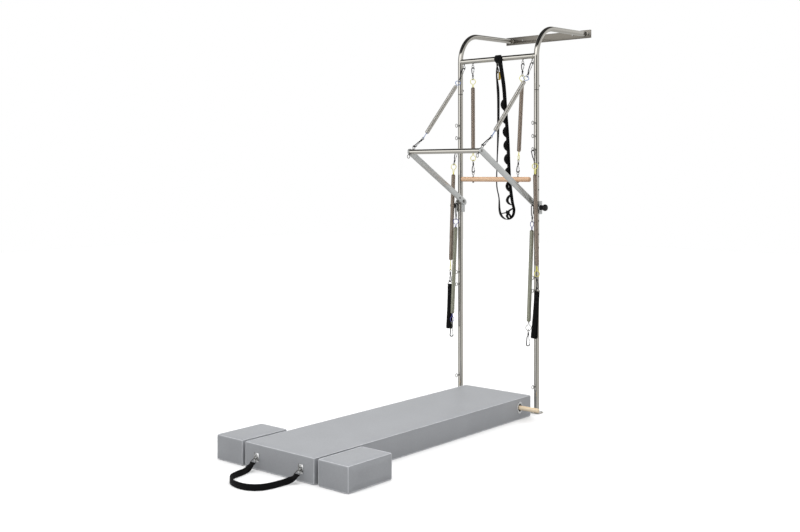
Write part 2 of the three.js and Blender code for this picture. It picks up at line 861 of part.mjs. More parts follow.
// A spring held at both ends: an upper hook, the spring and a lower hook between two eyes.
// The spring's weight makes the upper hook hang steeper than the spring, and the lower one flatter.
function heldSpring(name, from, to, coilShare, neck, sagAngle) {
  const sag = THREE.MathUtils.degToRad(sagAngle);
  const reach = from.distanceTo(to);
  const coilLength = coilShare * (reach - 2 * eyeRingRadius);
  const span = springSpan(coilLength, neck);
  const hookReach = (reach - span - 2 * swivelRingRadius) / (2 * Math.cos(sag));
  const hookLength = hookReach - eyeRingRadius + swivelRingRadius;
  const way = to.clone().sub(from).normalize();
  const hook = hungFrom(from, sideways, eyeRingRadius, way.clone().applyAxisAngle(sideways, sag));
  add(name + "_upper_hook", snapHookGeometry(hookLength), plated, hook);
  const swivel = alongGroup(hook, hookLength - swivelRingRadius);
  const swivelNormal = sideways.clone().applyQuaternion(hook.quaternion);
  const group = hungFrom(swivel, swivelNormal, swivelRingRadius, way);
  add(name + "_spring", springGeometry(coilLength, neck), springSteel, group);
  const lowerWay = way.clone().applyAxisAngle(sideways, -sag).negate();
  const lower = hungFrom(to, sideways, eyeRingRadius, lowerWay);
  add(name + "_lower_hook", snapHookGeometry(hookLength), plated, lower);
}

// Leg spring: hook, spring, snap and foot loop, leaning out past the carriage
function legSpring(side, name) {
  const eye = new THREE.Vector3(side * uprightX, -eyeReach, uprightEyeHeights[legEye]);
  const hookLean = new THREE.Vector3(side * legHookOut, -legHookForward, -legHookLength).normalize();
  const hook = hungFrom(eye, sideways, eyeRingRadius, hookLean);
  add(name + "_leg_upper_hook", snapHookGeometry(legHookLength), plated, hook);
  const swivel = alongGroup(hook, legHookLength - swivelRingRadius);
  const swivelNormal = sideways.clone().applyQuaternion(hook.quaternion);
  const span = springSpan(longCoilLength, legNeck);
  const lean = new THREE.Vector3(side * legCoilOut, -legCoilForward, -span).normalize();
  const group = hungFrom(swivel, swivelNormal, swivelRingRadius, lean);
  add(name + "_leg_spring", springGeometry(longCoilLength, legNeck), springSteel, group);
  addSnap(name + "_leg_snap", legSnapLength, span, group);
  const loop = add(name + "_leg_loop", footLoopGeometry(), webbing, group);
  loop.position.z = -span - legSnapLength;
  loop.rotation.set(-THREE.MathUtils.degToRad(loopForward), side * THREE.MathUtils.degToRad(loopInward), 0);
}

// Snap at the foot of a spring: a snap hook turned upside down
function addSnap(name, length, span, group) {
  const snap = add(name, snapHookGeometry(length, "x"), plated, group);
  snap.rotation.x = Math.PI;
  snap.position.z = -span - length;
}

// Foot loop: a D-ring held at the origin and a teardrop of webbing sewn round its bar
function footLoopGeometry() {
  const bar = -ringRise;
  const half = (ringBarWidth - ringBarWire) / 2;
  const corners = [
    [-ringApexSpread / 2, -ringBarWire / 2],
    [0, 0],
    [ringApexSpread / 2, -ringBarWire / 2],
    [half, bar + ringBarWire],
    [half, bar],
    [-half, bar],
    [-half, bar + ringBarWire],
  ].map(([x, z]) => new THREE.Vector3(x, 0, z));
  const dRing = swept(corners, roundSection(ringBarWire / 2, wireSteps), true, new THREE.Vector3(0, 1, 0));
  const top = bar + ringBarWire / 2;
  const bottom = top - loopLength;
  const [toeOut, toeUp] = loopToeShares.map((share) => share * loopFootSpread);
  const points = [
    [loopTopSpread / 2, top - loopTopSpread],
    [0, top],
    [-loopTopSpread / 2, top - loopTopSpread],
    [-loopWaistSpread / 2, top - loopLength / 2],
    [-loopFootSpread / 2, bottom + loopFootSpread],
    [-toeOut, bottom + toeUp],
    [0, bottom],
    [toeOut, bottom + toeUp],
    [loopFootSpread / 2, bottom + loopFootSpread],
    [loopWaistSpread / 2, top - loopLength / 2],
  ].map(([y, z]) => new THREE.Vector3(0, y, z));
  return joined(swept(points, flatSection(loopWidth, strapThickness), true, sideways), dRing);
}

// Arm spring: hook, spring and snap, leaning forward on the eye below
function armSpring(side, name) {
  const eye = new THREE.Vector3(side * uprightX, -eyeReach, uprightEyeHeights[armEye]);
  const lean = THREE.MathUtils.degToRad(armLean);
  const way = new THREE.Vector3(0, -Math.sin(lean), -Math.cos(lean));
  const group = hungFrom(eye, sideways, eyeRingRadius, way);
  add(name + "_arm_upper_hook", snapHookGeometry(armHookLength), plated, group);
  const spring = add(name + "_arm_spring", springGeometry(longCoilLength, armNeck), springSteel, group);
  spring.position.z = -armHookLength;
  addSnap(name + "_arm_snap", armSnapLength, armHookLength + springSpan(longCoilLength, armNeck), group);
}

// Roll-down bar: a wooden dowel with rounded ends, drilled for its two eye bolts
function rollBarGeometry() {
  const radius = rollBarDiameter / 2;
  const half = rollBarLength / 2;
  const profile = [
    [0, -half],
    [radius - rollBarEdge, -half],
    [radius, -half + rollBarEdge],
    [radius, half - rollBarEdge],
    [radius - rollBarEdge, half],
    [0, half],
  ];
  const bar = turned(profile).rotateY(Math.PI / 2).translate(0, -rollBarFront, rollBarHeight);
  const holes = Object.values(sides).map((side) =>
    rod(
      [side * rollEyePlace, -rollBarFront, rollBarHeight - rollBarDiameter],
      [side * rollEyePlace, -rollBarFront, rollBarHeight + rollBarDiameter],
      eyeShank / 2 + slipGap,
      neckSteps,
    ),
  );
  return cut(bar, ...holes);
}

function rollEyeGeometry() {
  const under = -rollBarDiameter / 2 - seatGap;
  return joined(
    eyeBolt([0, 0, under - rollEyeTip], [0, 0, rollEyeAbove]),
    rod([0, 0, under - rollEyeTip / 2], [0, 0, under], rollEyeCap / 2, neckSteps),
  );
}

// Which way the safety strap's webbing lies at a point of its middle line
function strapAcross(place) {
  const front = place.x > strandsMeet;
  const length = front ? frontTwistLength : rearTwistLength;
  const twist = THREE.MathUtils.clamp((-place.z - twistStart) / length, 0, 1);
  const share = front ? twist ** frontTwistPower : twist;
  const facing = THREE.MathUtils.degToRad(safetyFacing);
  const turned = new THREE.Vector3(Math.sin(facing), -Math.cos(facing), 0);
  return sideways.clone().multiplyScalar(1 - share).addScaledVector(turned, share).normalize();
}

// Place, direction and inward direction of the strap at a distance along it
function strapAt(points, distance) {
  let left = distance;
  let i = 0;
  while (left > points[i].distanceTo(points[i + 1])) {
    left -= points[i].distanceTo(points[i + 1]);
    i += 1;
  }
  const tangent = points[i + 1].clone().sub(points[i]).normalize();
  const place = points[i].clone().addScaledVector(tangent, left);
  const across = strapAcross(place);
  return { place, across, inward: tangent.clone().cross(across).normalize() };
}

// A pocket: a strip that leaves the strap, stands off it inwards and comes back
function pocketGeometry(points, start, mouth, depth) {
  const stops = pocketStopShares.map((share) => strapAt(points, start + mouth * share));
  const path = stops.map((stop, i) =>
    stop.place.clone().addScaledVector(stop.inward, depth * pocketOutShares[i]),
  );
  const section = flatSection(safetyWidth - 2 * pocketInset, strapThickness);
  return swept(path, section, false, stops.map((stop) => stop.across));
}

// Safety strap: a long loop over the crossbar, with a chain of pockets sewn inside it
function safetyStrapGeometry() {
  const points = safetyMiddle.map((place) => new THREE.Vector3(...place));
  const across = points.map(strapAcross);
  const strap = swept(points, flatSection(safetyWidth, strapThickness), true, across);
  const front = points.slice(safetyFrontPoint);
  const pockets = Array.from({ length: pocketCount }, (_, i) =>
    pocketGeometry(front, pocketStart + i * pocketPitch - pocketMouth / 2, pocketMouth, pocketDepth),
  );
  const back = [points[0], ...points.slice().reverse()];
  const clipStart = clipPocketDrop - clipPocketMouth / 2;
  const clipPocket = pocketGeometry(back, clipStart, clipPocketMouth, -clipPocketDepth);
  return joined(strap, ...pockets, clipPocket);
}

// Clip: a long ring that hangs in the pocket at the top of the strap's rear strand
function clipGeometry() {
  const points = safetyMiddle.map((place) => new THREE.Vector3(...place));
  const back = [points[0], ...points.slice().reverse()];
  const stop = strapAt(back, clipPocketDrop + clipPocketMouth / 2 - clipRise);
  const hang = stop.place.clone().addScaledVector(stop.inward, -clipPocketDepth / 2);
  const half = (clipWidth - clipWire) / 2;
  const inner = half - clipCorner;
  const foot = clipWire - clipLength;
  const outline = [
    [-inner, 0], [inner, 0], [half, -clipCorner], [half, foot + clipCorner],
    [inner, foot], [-inner, foot], [-half, foot + clipCorner], [-half, -clipCorner],
  ];
  const ringPoints = outline.map(([out, up]) =>
    hang.clone().addScaledVector(stop.across, out).add(new THREE.Vector3(0, 0, up)),
  );
  return swept(ringPoints, roundSection(clipWire / 2, wireSteps), true, stop.inward);
}

// A stuffed vinyl block: flat underneath, crowned on top, its sides drawn in between rounded corners
function cushionGeometry(width, length, thickness) {
  const outline = cushionOutline(width, length);
  const rims = cushionLevelShares.map((share) => {
    const edge = cushionEdge * (1 - Math.min(1, Math.min(share, 1 - share) / cushionEdgeShare));
    const draw = cushionSideDraw * Math.sin(Math.PI * share);
    return outline.map(([x, y, corner]) => {
      const inset = edge + draw * (1 - corner);
      return [towardsMiddle(x, inset), towardsMiddle(y, inset), (thickness - cushionCrown) * share];
    });
  });
  const inner = rims[rims.length - 1].map(([x, y, z]) => [
    x * cushionCrownShare,
    y * cushionCrownShare,
    z + cushionCrown,
  ]);
  return closedRings([...rims, inner]);
}

function towardsMiddle(value, by) {
  return value - Math.sign(value) * Math.min(by, Math.abs(value));
}

// Points round a rectangle, each with the share by which it belongs to a corner
function cushionOutline(width, length) {
  const across = cushionColumns;
  const along = Math.max(across, Math.round(length / (width / across)));
  const points = [];
  const edge = (count, place) => {
    for (let i = 0; i < count; i++) {
      const share = i / count;
      points.push([...place(share), Math.abs(2 * share - 1) ** cushionPinch]);
    }
  };
  const [x, y] = [width / 2, length / 2];
  const soft = (value, other, limitValue, limitOther) =>
    Math.abs(value) === limitValue && Math.abs(other) === limitOther ? cushionCorner * (1 - Math.SQRT1_2) : 0;
  edge(across, (s) => [-x + width * s, -y]);
  edge(along, (s) => [x, -y + length * s]);
  edge(across, (s) => [x - width * s, y]);
  edge(along, (s) => [-x, y - length * s]);
  return points.map(([px, py, corner]) => {
    const inset = soft(px, py, x, y);
    return [px - Math.sign(px) * inset, py - Math.sign(py) * inset, corner];
  });
}

// Rings of equal count, closed below by a flat face and above by a fan
function closedRings(rings) {
  const count = rings[0].length;
  const positions = rings.flat(2);
  const index = [];
  for (let i = 0; i < rings.length - 1; i++) {
    for (let j = 0; j < count; j++) {
      const a = i * count + j;
      const b = i * count + ((j + 1) % count);
      index.push(a, b, b + count, a, b + count, a + count);
    }
  }
  const last = (rings.length - 1) * count;
  const foot = positions.length / 3;
  positions.push(0, 0, rings[0][0][2]);
  positions.push(0, 0, rings[rings.length - 1][0][2]);
  for (let j = 0; j < count; j++) {
    index.push(foot, (j + 1) % count, j);
    index.push(foot + 1, last + j, last + ((j + 1) % count));
  }
  const geometry = new THREE.BufferGeometry();
  geometry.setAttribute("position", new THREE.Float32BufferAttribute(positions, 3));
  geometry.setIndex(index);
  geometry.computeVertexNormals();
  return geometry;
}

function matGeometry() {
  const mat = cushionGeometry(matWidth, matLength, matThickness);
  mat.translate(matShift, (matBack + matFront) / 2, 0);
  const y = matBack - dowelSetback;
  const reach = matWidth / 2 + cutOverrun;
  const bore = rod(
    [matShift - reach, y, dowelHeight],
    [matShift + reach, y, dowelHeight],
    dowelDiameter / 2 + dowelBoreGap,
  );
  return cut(mat, bore);
}

function dowelGeometry() {
  const half = matWidth / 2 + dowelReach;
  const radius = dowelDiameter / 2;
  const profile = [
    [0, -half],
    [radius - dowelEdge, -half],
    [radius, -half + dowelEdge],
    [radius, half - dowelEdge],
    [radius - dowelEdge, half],
    [0, half],
  ];
  const dowel = turned(profile, pinSteps).rotateY(Math.PI / 2);
  return dowel.translate(matShift, matBack - dowelSetback, dowelHeight);
}

// Escutcheon: an oval plate round the dowel's hole
function escutcheonGeometry() {
  const outline = new THREE.Shape();
  outline.absellipse(0, 0, escutcheonWidth / 2, escutcheonHeight / 2, 0, 2 * Math.PI, false, 0);
  const bore = new THREE.Path();
  bore.absarc(0, 0, dowelDiameter / 2 + dowelBoreGap, 0, 2 * Math.PI);
  outline.holes.push(bore);
  const plate = new THREE.ExtrudeGeometry(outline, {
    depth: escutcheonThickness,
    bevelEnabled: false,
    curveSegments: neckSteps,
  });
  return plate.rotateZ(Math.PI / 2).rotateY(Math.PI / 2);
}

// Anchor on the mat's front end: a plate with an eye that stands out from it
function anchorGeometry() {
  const plate = box(
    anchorPlateWidth, anchorPlateThickness, anchorPlateHeight,
    0, -anchorPlateThickness / 2, anchorHeight,
  );
  return joined(plate, ring(anchorEyeRadius, anchorEyeWire, "x", 0, -anchorEyeReach, anchorHeight));
}

// Where the top wire of each triangular ring lies in its eye, which is where the foot strap turns
function footPivot() {
  const seat = (anchorEyeRadius - anchorEyeWire / 2 - triangleWire / 2 - slipGap) * Math.SQRT1_2;
  return [-anchorEyeReach - seat, anchorHeight - seat];
}

function triangleRing(x) {
  const [y, z] = footPivot();
  const barY = y - triangleForward;
  const barZ = z - triangleFall;
  const apexHalf = triangleApexSpread / 2;
  const barHalf = (triangleBar - triangleWire) / 2;
  const corners = [
    [-apexHalf, y, z],
    [apexHalf, y, z],
    [barHalf, barY, barZ],
    [-barHalf, barY, barZ],
  ].map(([out, forward, up]) => new THREE.Vector3(x + out, forward, up));
  const square = new THREE.Vector3(0, triangleFall, -triangleForward).normalize();
  const geometry = swept(corners, roundSection(triangleWire / 2, wireSteps), true, square);
  return { geometry, bar: [x, barY, barZ] };
}

// Foot strap: webbing sewn round both rings, turned on edge where it lies on the floor
function footStrapGeometry() {
  const rings = [-anchorSpread, anchorSpread].map(triangleRing);
  const route = [rings[0].bar, ...footStrapRoute, rings[1].bar].map((place) => new THREE.Vector3(...place));
  const upright = new THREE.Vector3(0, 0, 1);
  const widths = route.map((_, i) => {
    const fromEnd = Math.min(i, route.length - 1 - i);
    const share = footTwistShares[Math.min(fromEnd, footTwistShares.length - 1)];
    const level = i < route.length / 2 ? -1 : 1;
    const flat = sideways.clone().multiplyScalar(level * (1 - share));
    return flat.addScaledVector(upright, share).normalize();
  });
  const lowest = Math.min(...footStrapRoute.map(([, , z]) => z)) - footStrapWidth / 2;
  route.forEach((place) => place.setZ(place.z - lowest + footStrapFloorGap));
  route[0].set(...rings[0].bar);
  route[route.length - 1].set(...rings[1].bar);
  const strap = swept(route, flatSection(footStrapWidth, footStrapThickness), false, widths);
  return joined(strap, ...rings.map((ring) => ring.geometry));
}

// The same piece for the other side, with each face turned round again
function mirrored(geometry, side) {
  if (side > 0) return geometry;
  const copy = geometry.clone().scale(-1, 1, 1);
  const order = copy.index.array;
  for (let i = 0; i < order.length; i += 3) {
    [order[i + 1], order[i + 2]] = [order[i + 2], order[i + 1]];
  }
  return copy;
}

for (const [name, side] of Object.entries(sides)) {
  const place = (mesh) => mesh.position.set(side * uprightX, 0, 0);
  place(add(name + "_upright", uprightGeometry(side), steel));
  place(add(name + "_top_bend", bendGeometry(), steel));
  place(add(name + "_base_plate", basePlateGeometry(), steel));
  place(add(name + "_seam_screw", seamScrewGeometry(), blackPlastic));
  place(add(name + "_carriage", mirrored(carriageGeometry(), side), plated));
  place(add(name + "_pull_pin", mirrored(pullPinGeometry(), side), blackPlastic));
  add(name + "_pivot_bolt", mirrored(pivotBoltGeometry(), side), plated);
}
add("crossbar", crossbarGeometry(), steel);
add("wall_plate", wallPlateGeometry(), steel);

const pushBar = new THREE.Group();
pushBar.position.set(0, 0, pivotHeight);
pushBar.rotation.x = -armSlope;
tower.add(pushBar);
add("push_bar", pushBarGeometry(), steel, pushBar);
add("right_push_arm", pushArmGeometry(), brushed, pushBar).position.x = armInnerX;
add("left_push_arm", pushArmGeometry(), brushed, pushBar).position.x = -armOuterX;

for (const [name, side] of Object.entries(sides)) {
  const top = new THREE.Vector3(side * pushSpringEyePlace, 0, crossbarEyeHeight);
  heldSpring(name + "_push", top, pushEyeCentre(side), pushCoilShare, pushNeck, pushSag);
  const rollTop = new THREE.Vector3(side * rollSpringEyePlace, 0, crossbarEyeHeight);
  const rollEye = new THREE.Vector3(side * rollEyePlace, -rollBarFront, rollBarHeight + rollEyeAbove);
  heldSpring(name + "_roll", rollTop, rollEye, rollCoilShare, rollNeck, 0);
  const eyeBolts = add(name + "_roll_eye", rollEyeGeometry(), plated);
  eyeBolts.position.set(side * rollEyePlace, -rollBarFront, rollBarHeight);
  legSpring(side, name);
  armSpring(side, name);
}
add("roll_down_bar", rollBarGeometry(), maple);

add("safety_strap", safetyStrapGeometry(), webbing).position.set(0, 0, crossbarHeight);
add("safety_clip", clipGeometry(), brass).position.set(0, 0, crossbarHeight);

add("mat", matGeometry(), vinyl);
for (const [name, side] of Object.entries(sides)) {
  const block = add(name + "_block", cushionGeometry(blockWidth, blockLength, blockThickness), vinyl);
  const reach = matWidth / 2 + blockGap + blockWidth / 2;
  block.position.set(matShift + side * reach, matFront + blockLength / 2, 0);
  const escutcheon = add(name + "_escutcheon", escutcheonGeometry(), plated);
  const sunk = matWidth / 2 - cushionSideDraw * escutcheonSinkShare + seatGap;
  const wall = side * sunk - (side < 0 ? escutcheonThickness : 0);
  escutcheon.position.set(matShift + wall, matBack - dowelSetback, dowelHeight);
  const anchor = add(name + "_anchor", anchorGeometry(), plated);
  anchor.position.set(matShift + side * anchorSpread, anchorFace, 0);
}
add("dowel", dowelGeometry(), maple);
add("foot_strap", footStrapGeometry(), webbing).position.set(matShift, anchorFace, 0);

// The part's own origin: on the floor, at the middle of the whole
tower.updateMatrixWorld(true);
const whole = new THREE.Box3().setFromObject(tower, true);
const middle = whole.getCenter(new THREE.Vector3());
tower.position.set(-middle.x, -middle.y, -whole.min.z);

export default tower;
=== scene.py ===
# %% [markdown]
# # A Pilates tower with its mat
# A polished steel tower stands against a wall. It carries a push-through bar, a wooden roll-down bar,
# eight springs, a webbing strap and two foot loops. A firm vinyl mat lies in front of it.
# The CAD frame gives every place and every moving body, so each cell below only dresses what is there.

# %% Open the CAD frame
from math import atan2, cos, pi, radians, sin, sqrt

import bmesh
import bpy
from mathutils import Matrix, Vector
from mathutils.bvhtree import BVHTree


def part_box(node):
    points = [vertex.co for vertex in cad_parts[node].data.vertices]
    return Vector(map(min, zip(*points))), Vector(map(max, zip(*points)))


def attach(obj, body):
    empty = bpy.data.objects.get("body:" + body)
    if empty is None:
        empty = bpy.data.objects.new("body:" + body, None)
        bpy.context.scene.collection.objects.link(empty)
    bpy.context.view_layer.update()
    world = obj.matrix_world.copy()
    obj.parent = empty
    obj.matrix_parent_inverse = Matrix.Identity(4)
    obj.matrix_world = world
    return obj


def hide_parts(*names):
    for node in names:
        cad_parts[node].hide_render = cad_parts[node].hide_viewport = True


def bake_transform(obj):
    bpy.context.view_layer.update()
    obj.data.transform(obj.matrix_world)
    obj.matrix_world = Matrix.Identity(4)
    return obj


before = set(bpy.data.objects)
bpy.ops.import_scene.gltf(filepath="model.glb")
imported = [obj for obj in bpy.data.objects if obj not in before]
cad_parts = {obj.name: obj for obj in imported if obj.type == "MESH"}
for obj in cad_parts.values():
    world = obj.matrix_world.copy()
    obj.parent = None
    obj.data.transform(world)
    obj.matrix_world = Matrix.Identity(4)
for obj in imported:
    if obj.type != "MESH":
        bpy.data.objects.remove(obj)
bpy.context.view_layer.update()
scene = bpy.context.scene
MM = 0.001
SIDES = {"left": -1, "right": 1}
SIDEWAYS = Vector((1, 0, 0))

# %% [markdown]
# ## Places
# The posts' axes are the base line for everything else, so they are measured from the CAD nodes.
# `at` then takes millimetres from the middle between the posts: right, towards the wall and up.

# %% Measure the tower's own origin
TUBE_R = 31.75 / 2
left_post, right_post = (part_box(side + "_upright") for side in SIDES)
post_x = (right_post[0].x + right_post[1].x - left_post[0].x - left_post[1].x) / 4 / MM
middle_x = (right_post[0].x + right_post[1].x + left_post[0].x + left_post[1].x) / 4
origin = Vector((middle_x, right_post[1].y - TUBE_R * MM, 0))


def at(x, y, z):
    return origin + Vector((x, y, z)) * MM


def frame_at(x, y, z):
    return Matrix.Translation(at(x, y, z))


def turn_on(axis, degrees):
    return Matrix.Rotation(radians(degrees), 4, axis)


print("posts stand", round(2 * post_x, 1), "mm apart")

# %% [markdown]
# ## The camera
# A level camera keeps the posts upright in the picture, as a photographer does with a shift lens.
# Its place and focal length were solved from the mat's corners and the two posts.

# %% Set the camera
CAMERA_AT = (3690.5, -5280.6, 1424.7)
CAMERA_YAW = 40.3
FOCAL_PIXELS = 1040.3
PICTURE = (800, 532)
HORIZON_ROW = 175
SENSOR = 36
eye = bpy.data.cameras.new("studio_camera")
eye.sensor_width = SENSOR
eye.lens = FOCAL_PIXELS * SENSOR / PICTURE[0]
eye.shift_y = (HORIZON_ROW - PICTURE[1] / 2) / PICTURE[0]
eye.clip_end = 60
camera = bpy.data.objects.new("studio_camera", eye)
camera.matrix_world = frame_at(*CAMERA_AT) @ turn_on("Z", CAMERA_YAW) @ turn_on("X", 90)
scene.collection.objects.link(camera)
scene.camera = camera
print("lens", round(eye.lens, 2), "mm")

# %% [markdown]
# ## Helpers for shapes
# Nearly everything here is turned on a lathe or bent from wire, tube and strap.
# So three operators do most of the work: spin for turned parts, extrude along a path for bent ones,
# and bevel for plates. Each helper adds its shape to a bmesh, so that a piece can be built up.


# %% Turned shapes
def put(bm, part, place=None, finish=0):
    """Moves a finished part to its place and adds it to bm, in one of the piece's finishes."""
    if place:
        part.transform(place)
    for face in part.faces:
        face.material_index = finish
    mesh = bpy.data.meshes.new("part")
    part.to_mesh(mesh)
    part.free()
    bm.from_mesh(mesh)
    bpy.data.meshes.remove(mesh)


def joined(bm):
    bmesh.ops.remove_doubles(bm, verts=bm.verts, dist=1e-6)


def spun(part, geom, steps):
    """Spins an outline one full turn about Z and joins it where it meets itself."""
    bmesh.ops.spin(part, geom=geom, axis=(0, 0, 1), angle=2 * pi, steps=steps, use_merge=True)
    joined(part)
    return part


def turned(profile, steps=32, closed=False):
    """Spins pairs of radius and height about Z. A closed profile makes a tube with a wall."""
    part = bmesh.new()
    verts = [part.verts.new((radius * MM, 0, height * MM)) for radius, height in profile]
    edges = [part.edges.new(pair) for pair in zip(verts, verts[1:] + verts[:1] * closed)]
    return spun(part, verts + edges, steps)


def softened(profile, edge=0.8):
    """Cuts the outer corners of a turned profile, so that they catch a line of light."""
    soft = [profile[0]]
    for before, corner, after in zip(profile, profile[1:], profile[2:]):
        for other in (before, after):
            away = Vector(other) - Vector(corner)
            soft.append(tuple(Vector(corner) + away.normalized() * min(edge, away.length / 3)))
    soft.append(profile[-1])
    return soft


def along(start, end):
    """A matrix at start whose Z runs towards end."""
    way = Vector(end) - Vector(start)
    return Matrix.Translation(start) @ way.to_track_quat("Z", "Y").to_matrix().to_4x4()


def rod(bm, start, end, radius, finish=0, edge=0.6, steps=24):
    """A round bar between two points in metres, with softened ends; its radius is in millimetres."""
    length = (Vector(end) - Vector(start)).length / MM
    profile = [(0, 0), (radius, 0), (radius, length), (0, length)]
    put(bm, turned(softened(profile, edge), steps), along(start, end), finish)


# %% [markdown]
# A wire, a tube or a strap is a flat outline carried along a path. Extruding the outline's edges from
# one place to the next gives clean rings of faces. `across` keeps a strap's width where it belongs.


# %% Swept shapes
def moved(place, points):
    """Points in millimetres, carried to a place."""
    return [place @ (Vector(p) * MM) for p in points]


def smooth_path(points, steps=6, closed=False):
    """Fills in a path through the points, round at each of them."""
    points = [Vector(p) for p in points]
    count = len(points)

    def point(i):
        return points[i % count] if closed else points[max(0, min(count - 1, i))]

    path = []
    for i in range(count if closed else count - 1):
        a, b, c, d = (point(i + k) for k in (-1, 0, 1, 2))
        for step in range(steps):
            t = step / steps
            path.append(
                b
                + (c - a) * (t / 2)
                + (2 * a - 5 * b + 4 * c - d) * (t * t / 2)
                + (3 * b - a - 3 * c + d) * (t * t * t / 2)
            )
    if not closed:
        path.append(points[-1])
    return path


def places_on(path, closed=False, across=None):
    """A matrix for each point: Z along the path, X across it."""
    count = len(path)
    places, side = [], None
    for i, here in enumerate(path):
        before = path[(i - 1) % count] if closed else path[max(0, i - 1)]
        after = path[(i + 1) % count] if closed else path[min(count - 1, i + 1)]
        tangent = (after - before).normalized()
        wanted = across(here, i) if across else side or tangent.orthogonal()
        side = (wanted - tangent * wanted.dot(tangent)).normalized()
        turn = Matrix((side, tangent.cross(side), tangent)).transposed().to_4x4()
        places.append(Matrix.Translation(here) @ turn)
    return places


def only(kind, items):
    return [item for item in items if isinstance(item, kind)]


def swept(section, places, closed=False):
    """Extrudes a section of points, in millimetres, through the places. Keeps the way along and across
    in two attributes, for finishes that follow the piece."""
    part = bmesh.new()
    far, wide = (part.verts.layers.float.new(name) for name in ("along", "across"))
    verts = [part.verts.new(places[0] @ Vector((x * MM, y * MM, 0))) for x, y in section]
    for vert, (x, _) in zip(verts, section):
        vert[wide] = x * MM
    edges = [part.edges.new(pair) for pair in zip(verts, verts[1:] + verts[:1])]
    first, travelled = edges, 0
    for before, after in zip(places, places[1:]):
        made = bmesh.ops.extrude_edge_only(part, edges=edges)["geom"]
        new, edges = only(bmesh.types.BMVert, made), only(bmesh.types.BMEdge, made)
        bmesh.ops.transform(part, matrix=after @ before.inverted(), verts=new)
        travelled += (after.translation - before.translation).length
        for vert in new:
            vert[far] = travelled
    if closed:
        bmesh.ops.bridge_loops(part, edges=edges + first)
    else:
        bmesh.ops.contextual_create(part, geom=first)
        bmesh.ops.contextual_create(part, geom=edges)
    return part


def arc(radius, start, sweep, steps):
    """Pairs on an arc about the origin; its start and sweep in degrees."""
    turns = [radians(start + sweep * i / steps) for i in range(steps + 1)]
    return [(radius * cos(turn), radius * sin(turn)) for turn in turns]


def circle(radius, count=10):
    return arc(radius, 0, 360, count)[:-1]


def band(width, thickness, edge=0.8):
    """The section of a strap: flat faces and rounded selvedges."""
    w, t = width / 2, thickness / 2
    corner = min(edge, t * 0.9)
    half = [(-w + corner, -t), (w - corner, -t), (w, -t + corner), (w, t - corner)]
    return half + [(-x, -y) for x, y in half]


def wire(bm, path, radius, closed=False, finish=0, count=10):
    put(bm, swept(circle(radius, count), places_on(path, closed), closed), finish=finish)


def strap(bm, path, width, thickness, across, closed=False, edge=0.8):
    """Webbing along a path in metres. across gives the way of its width at each place."""
    put(bm, swept(band(width, thickness, edge), places_on(path, closed, across), closed))


def ring(bm, place, radius, thickness, finish=0, steps=32, sides=12):
    """A wire ring round the place's Z axis; sizes in millimetres."""
    part = bmesh.new()
    stand = Matrix.Translation((radius * MM, 0, 0)) @ turn_on("X", 90)
    bmesh.ops.create_circle(part, segments=sides, radius=thickness / 2 * MM, matrix=stand)
    put(bm, spun(part, part.verts[:] + part.edges[:], steps), place, finish)


def bevelled(bm, edges, offset, segments=2):
    bmesh.ops.bevel(
        bm, geom=edges, offset=offset * MM, segments=segments, profile=0.5, affect="EDGES", material=-1
    )


def box(size, centre=(0, 0, 0)):
    part = bmesh.new()
    place = Matrix.Translation(Vector(centre) * MM) @ Matrix.Diagonal((*(s * MM for s in size), 1))
    bmesh.ops.create_cube(part, size=1, matrix=place)
    return part


def slab(bm, centre, size, edge):
    """A plate with bevelled edges; its size and edge in millimetres, its centre in metres."""
    part = box(size)
    bevelled(part, part.edges[:], edge)
    put(bm, part, Matrix.Translation(centre))


# %% [markdown]
# ## Finished pieces
# A finished bmesh becomes one object: doubles merged, faces turned outwards, smooth where the surface is
# round and sharp where an edge is. Then it is told which body carries it and which solids it replaces.


# %% Turn a bmesh into a piece
def piece(name, bm, finishes, body, stands_for=(), crease=38):
    joined(bm)
    bmesh.ops.recalc_face_normals(bm, faces=bm.faces)
    mesh = bpy.data.meshes.new(name)
    bm.to_mesh(mesh)
    bm.free()
    for finish in finishes:
        mesh.materials.append(finish)
    mesh.shade_smooth()
    mesh.set_sharp_from_angle(angle=radians(crease))
    thing = bpy.data.objects.new(name, mesh)
    scene.collection.objects.link(thing)
    if body:
        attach(thing, body)
    if stands_for:
        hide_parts(*stands_for)
    print(name, len(mesh.polygons), "faces")
    return thing


# %% [markdown]
# ## Helpers for finishes
# Colours are written as sRGB hex, as a paint card gives them, and Blender wants them linear.
# One function adds a node, sets it and links it, so a finish reads as a short recipe.


# %% Colour and node helpers
def linear(hex_colour):
    channels = (int(hex_colour[i : i + 2], 16) / 255 for i in (1, 3, 5))
    return tuple(c / 12.92 if c <= 0.04045 else ((c + 0.055) / 1.055) ** 2.4 for c in channels) + (1,)


def add(tree, kind, inputs=None, **settings):
    made = tree.nodes.new("ShaderNode" + kind)
    for name, value in settings.items():
        setattr(made, name, value)
    for name, value in (inputs or {}).items():
        if isinstance(value, bpy.types.NodeSocket):
            tree.links.new(value, made.inputs[name])
        else:
            made.inputs[name].default_value = value
    return made


def new_finish(name, **settings):
    """A material with a Principled surface, whose sockets are set by name."""
    material = bpy.data.materials.new(name)
    material.use_nodes = True
    surface = material.node_tree.nodes["Principled BSDF"]
    for socket, value in settings.items():
        surface.inputs[socket.replace("_", " ")].default_value = value
    return material, material.node_tree, surface


def feed(tree, node, **sockets):
    for name, value in sockets.items():
        tree.links.new(value, node.inputs[name.replace("_", " ")])


def maths(tree, operation, first, second=0.5):
    return add(tree, "Math", {0: first, 1: second}, operation=operation).outputs[0]


